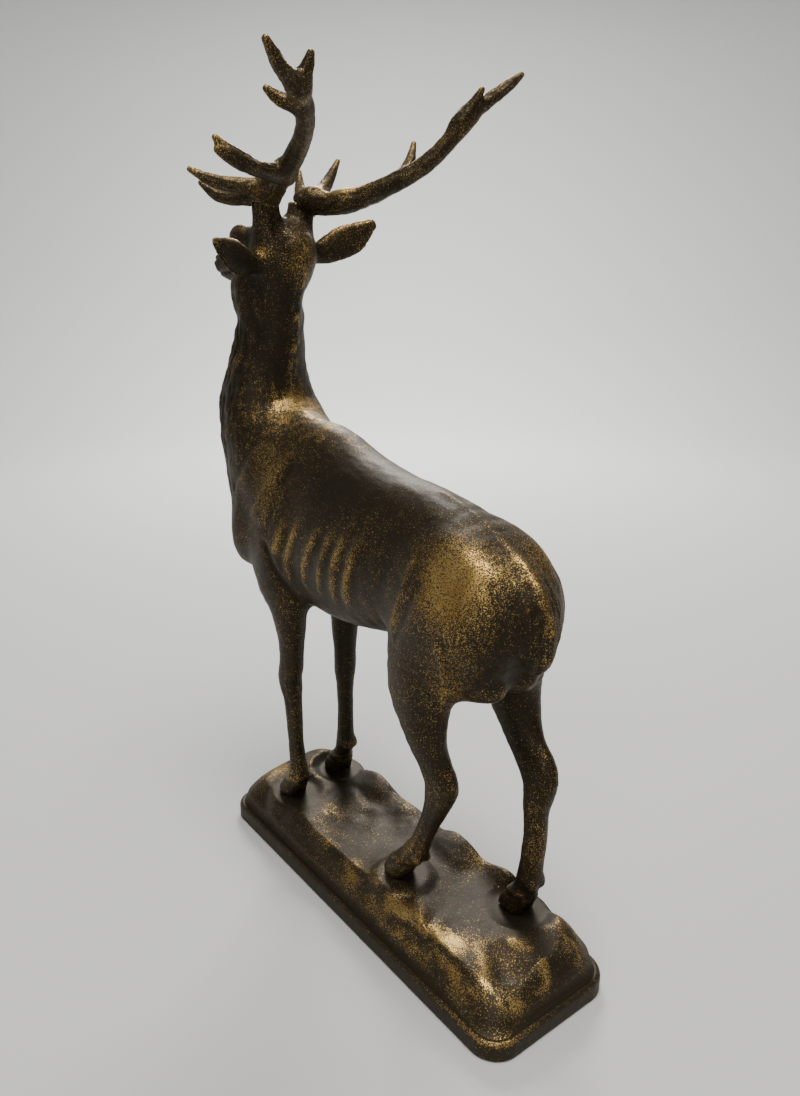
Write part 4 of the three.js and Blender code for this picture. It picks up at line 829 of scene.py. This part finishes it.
# Finish: dark bronze with gold rubbed through on the raised places; the gold also follows the painted highlight
# and painted shade held with the rub on each vertex
def finish_of(name, dark, brown, gold, grain):
    material = bpy.data.materials.new(name)
    material.use_nodes = True
    nodes, links = material.node_tree.nodes, material.node_tree.links
    nodes.clear()
    out = nodes.new("ShaderNodeOutputMaterial")
    shader = nodes.new("ShaderNodeBsdfPrincipled")
    links.new(shader.outputs["BSDF"], out.inputs["Surface"])
    where = nodes.new("ShaderNodeTexCoord").outputs["Object"]

    def noise_node(scale, detail, rough):
        node = nodes.new("ShaderNodeTexNoise")
        node.inputs["Scale"].default_value = scale
        node.inputs["Detail"].default_value = detail
        node.inputs["Roughness"].default_value = rough
        links.new(where, node.inputs["Vector"])
        return node.outputs["Fac"]

    def sum_of(a, b, factor):
        """a + factor * b"""
        node = nodes.new("ShaderNodeMath")
        node.operation = "MULTIPLY_ADD"
        links.new(b, node.inputs[0])
        node.inputs[1].default_value = factor
        links.new(a, node.inputs[2])
        return node.outputs[0]

    def ranged(value, low, high, start=0.0, end=1.0):
        node = nodes.new("ShaderNodeMapRange")
        node.interpolation_type = "SMOOTHSTEP"
        links.new(value, node.inputs["Value"])
        for socket, number in zip(("From Min", "From Max", "To Min", "To Max"), (low, high, start, end)):
            node.inputs[socket].default_value = number
        return node.outputs["Result"]

    def mixed(share, a, b):
        node = nodes.new("ShaderNodeMix")
        node.data_type = "RGBA"
        links.new(share, node.inputs["Factor"])
        for socket, colour in ((6, a), (7, b)):
            if isinstance(colour, tuple):
                node.inputs[socket].default_value = (*colour, 1)
            else:
                links.new(colour, node.inputs[socket])
        return node.outputs[2]

    rub_and_painted_light = nodes.new("ShaderNodeAttribute")
    rub_and_painted_light.attribute_name = "rub_and_painted_light"
    fine = noise_node(1900 / grain, 1, 0.5)
    medium = noise_node(520 / grain, 3, 0.6)
    broad = noise_node(60, 3, 0.55)
    amount = sum_of(rub_and_painted_light.outputs["Fac"], fine, 1.7)
    amount = sum_of(amount, medium, 0.35)
    speck = ranged(amount, 1.46, 1.80)
    under = ranged(sum_of(rub_and_painted_light.outputs["Fac"], medium, 0.8), 0.6, 1.1)
    ground = mixed(under, dark, brown)
    dull_gold = tuple(part * share for part, share in zip(gold, (0.80, 0.74, 0.66)))
    metal = mixed(ranged(broad, 0.42, 0.62), gold, dull_gold)
    links.new(mixed(speck, ground, metal), shader.inputs["Base Color"])
    links.new(ranged(speck, 0, 1, 0.5, 0.38), shader.inputs["Roughness"])
    links.new(ranged(speck, 0, 1, 0.1, 0.9), shader.inputs["Metallic"])
    shader.inputs["Specular IOR Level"].default_value = 0.26
    shader.inputs["Specular Tint"].default_value = (1, 0.82, 0.6, 1)
    bump = nodes.new("ShaderNodeBump")
    bump.inputs["Strength"].default_value = 0.4
    bump.inputs["Distance"].default_value = 0.0003
    links.new(sum_of(medium, fine, 0.7), bump.inputs["Height"])
    links.new(bump.outputs["Normal"], shader.inputs["Normal"])
    return material


def show(name, relief, node, material):
    """A piece in place of its CAD node, fitted into that node's box."""
    lift = GROUND if node != "base" else 0.0
    v = (relief.v + [0, 0, lift]) * METRES
    low, high = (np.array(corner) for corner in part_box(node))
    found_low, found_high = v.min(0), v.max(0)
    goal_low, goal_high = np.maximum(found_low, low), np.minimum(found_high, high)
    v = goal_low + (v - found_low) * (goal_high - goal_low) / (found_high - found_low)
    mesh = bpy.data.meshes.new(name)
    mesh.from_pydata(v.tolist(), [], [tuple(dict.fromkeys(face)) for face in relief.faces.tolist()])
    attribute = mesh.attributes.new("rub_and_painted_light", "FLOAT", "POINT")
    attribute.data.foreach_set("value", relief.rub_and_painted_light.astype(np.float32))
    mesh.shade_smooth()
    mesh.materials.append(material)
    piece = bpy.data.objects.new(name, mesh)
    bpy.context.scene.collection.objects.link(piece)
    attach(piece, "root")
    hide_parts(node)
    return piece


DARK, BROWN, GOLD = (0.0095, 0.0073, 0.0042), (0.027, 0.0190, 0.0094), (0.45, 0.295, 0.094)
ROCK_DARK, ROCK_BROWN, ROCK_GOLD = (0.0125, 0.0097, 0.0058), (0.034, 0.0245, 0.0128), (0.43, 0.284, 0.094)
stag_finish = finish_of("rubbed_bronze_stag", DARK, BROWN, GOLD, 1.0)
antler_finish = finish_of("rubbed_bronze_antlers", DARK, BROWN, GOLD, 0.8)
base_finish = finish_of("rubbed_bronze_base", ROCK_DARK, ROCK_BROWN, ROCK_GOLD, 1.0)
show("stag_cast", make_stag(), "stag", stag_finish)
show("left_antler_cast", make_antler(1), "left_antler", antler_finish)
show("right_antler_cast", make_antler(-1), "right_antler", antler_finish)
show("base_cast", make_base(), "base", base_finish)


# Studio: a plain pale sweep all round, soft lights and the photograph's viewpoint
def make_sweep():
    profile = [(0, 0), (0.5, 0), (1.5, 0)]
    bend = 0.9
    profile += [(1.5 + bend * math.sin(a), bend - bend * math.cos(a))
                for a in np.radians(np.arange(10, 91, 10))]
    profile += [(2.4, 2.0), (2.4, 4.0)]
    around = 64
    verts, faces = [], []
    for r, z in profile:
        verts += [(r * math.cos(a), r * math.sin(a), z) for a in 2 * math.pi * np.arange(around) / around]
    for k in range(1, len(profile)):
        for i in range(around):
            j = (i + 1) % around
            quad = [(k - 1) * around + i, k * around + i, k * around + j, (k - 1) * around + j]
            faces.append(quad if k > 1 else quad[:3])
    mesh = bpy.data.meshes.new("sweep")
    mesh.from_pydata(verts, [], faces)
    mesh.shade_smooth()
    material = bpy.data.materials.new("pale_sweep")
    material.use_nodes = True
    shader = material.node_tree.nodes["Principled BSDF"]
    shader.inputs["Roughness"].default_value = 0.85
    shader.inputs["Specular IOR Level"].default_value = 0.2
    shader.inputs["Base Color"].default_value = (0.5, 0.5, 0.492, 1)
    mesh.materials.append(material)
    floor = bpy.data.objects.new("sweep", mesh)
    bpy.context.scene.collection.objects.link(floor)


def area_light(name, place, target, size, power, colour=(1, 1, 1)):
    light = bpy.data.lights.new(name, "AREA")
    light.shape = "DISK"
    light.size = size
    light.energy = power
    light.color = colour
    lamp = bpy.data.objects.new(name, light)
    lamp.location = place
    lamp.rotation_euler = (Vector(target) - Vector(place)).to_track_quat("-Z", "Y").to_euler()
    bpy.context.scene.collection.objects.link(lamp)


make_sweep()
area_light("top", (-0.25, 0.1, 1.5), (0, 0, 0.1), 0.8, 25, (1, 0.98, 0.95))
area_light("left", (-0.9, 1.3, 0.9), (0, 0, 0.2), 0.8, 7)
area_light("back", (1.1, -1.0, 1.1), (0, 0, 0.2), 0.9, 7)
area_light("backdrop", (1.0, -0.76, 1.1), (1.2, -0.92, 0), 0.6, 38)
world = bpy.data.worlds.new("studio")
world.use_nodes = True
world.node_tree.nodes["Background"].inputs["Color"].default_value = (0.95, 0.97, 1.0, 1)
world.node_tree.nodes["Background"].inputs["Strength"].default_value = 0.25
bpy.context.scene.world = world

FOCAL_PIXELS, IMAGE_HEIGHT, SENSOR = 847.4, 1096, 36
PITCH = math.radians(17.2176)
camera = bpy.data.objects.new("camera", bpy.data.cameras.new("camera"))
camera.data.sensor_width = SENSOR
camera.data.lens = FOCAL_PIXELS / IMAGE_HEIGHT * SENSOR
camera.location = (-0.31726, 0.23947, 0.32103)
ahead = Vector((0.79379 * math.cos(PITCH), -0.60819 * math.cos(PITCH), -math.sin(PITCH)))
camera.rotation_euler = ahead.to_track_quat("-Z", "Y").to_euler()
bpy.context.scene.collection.objects.link(camera)
bpy.context.scene.camera = camera
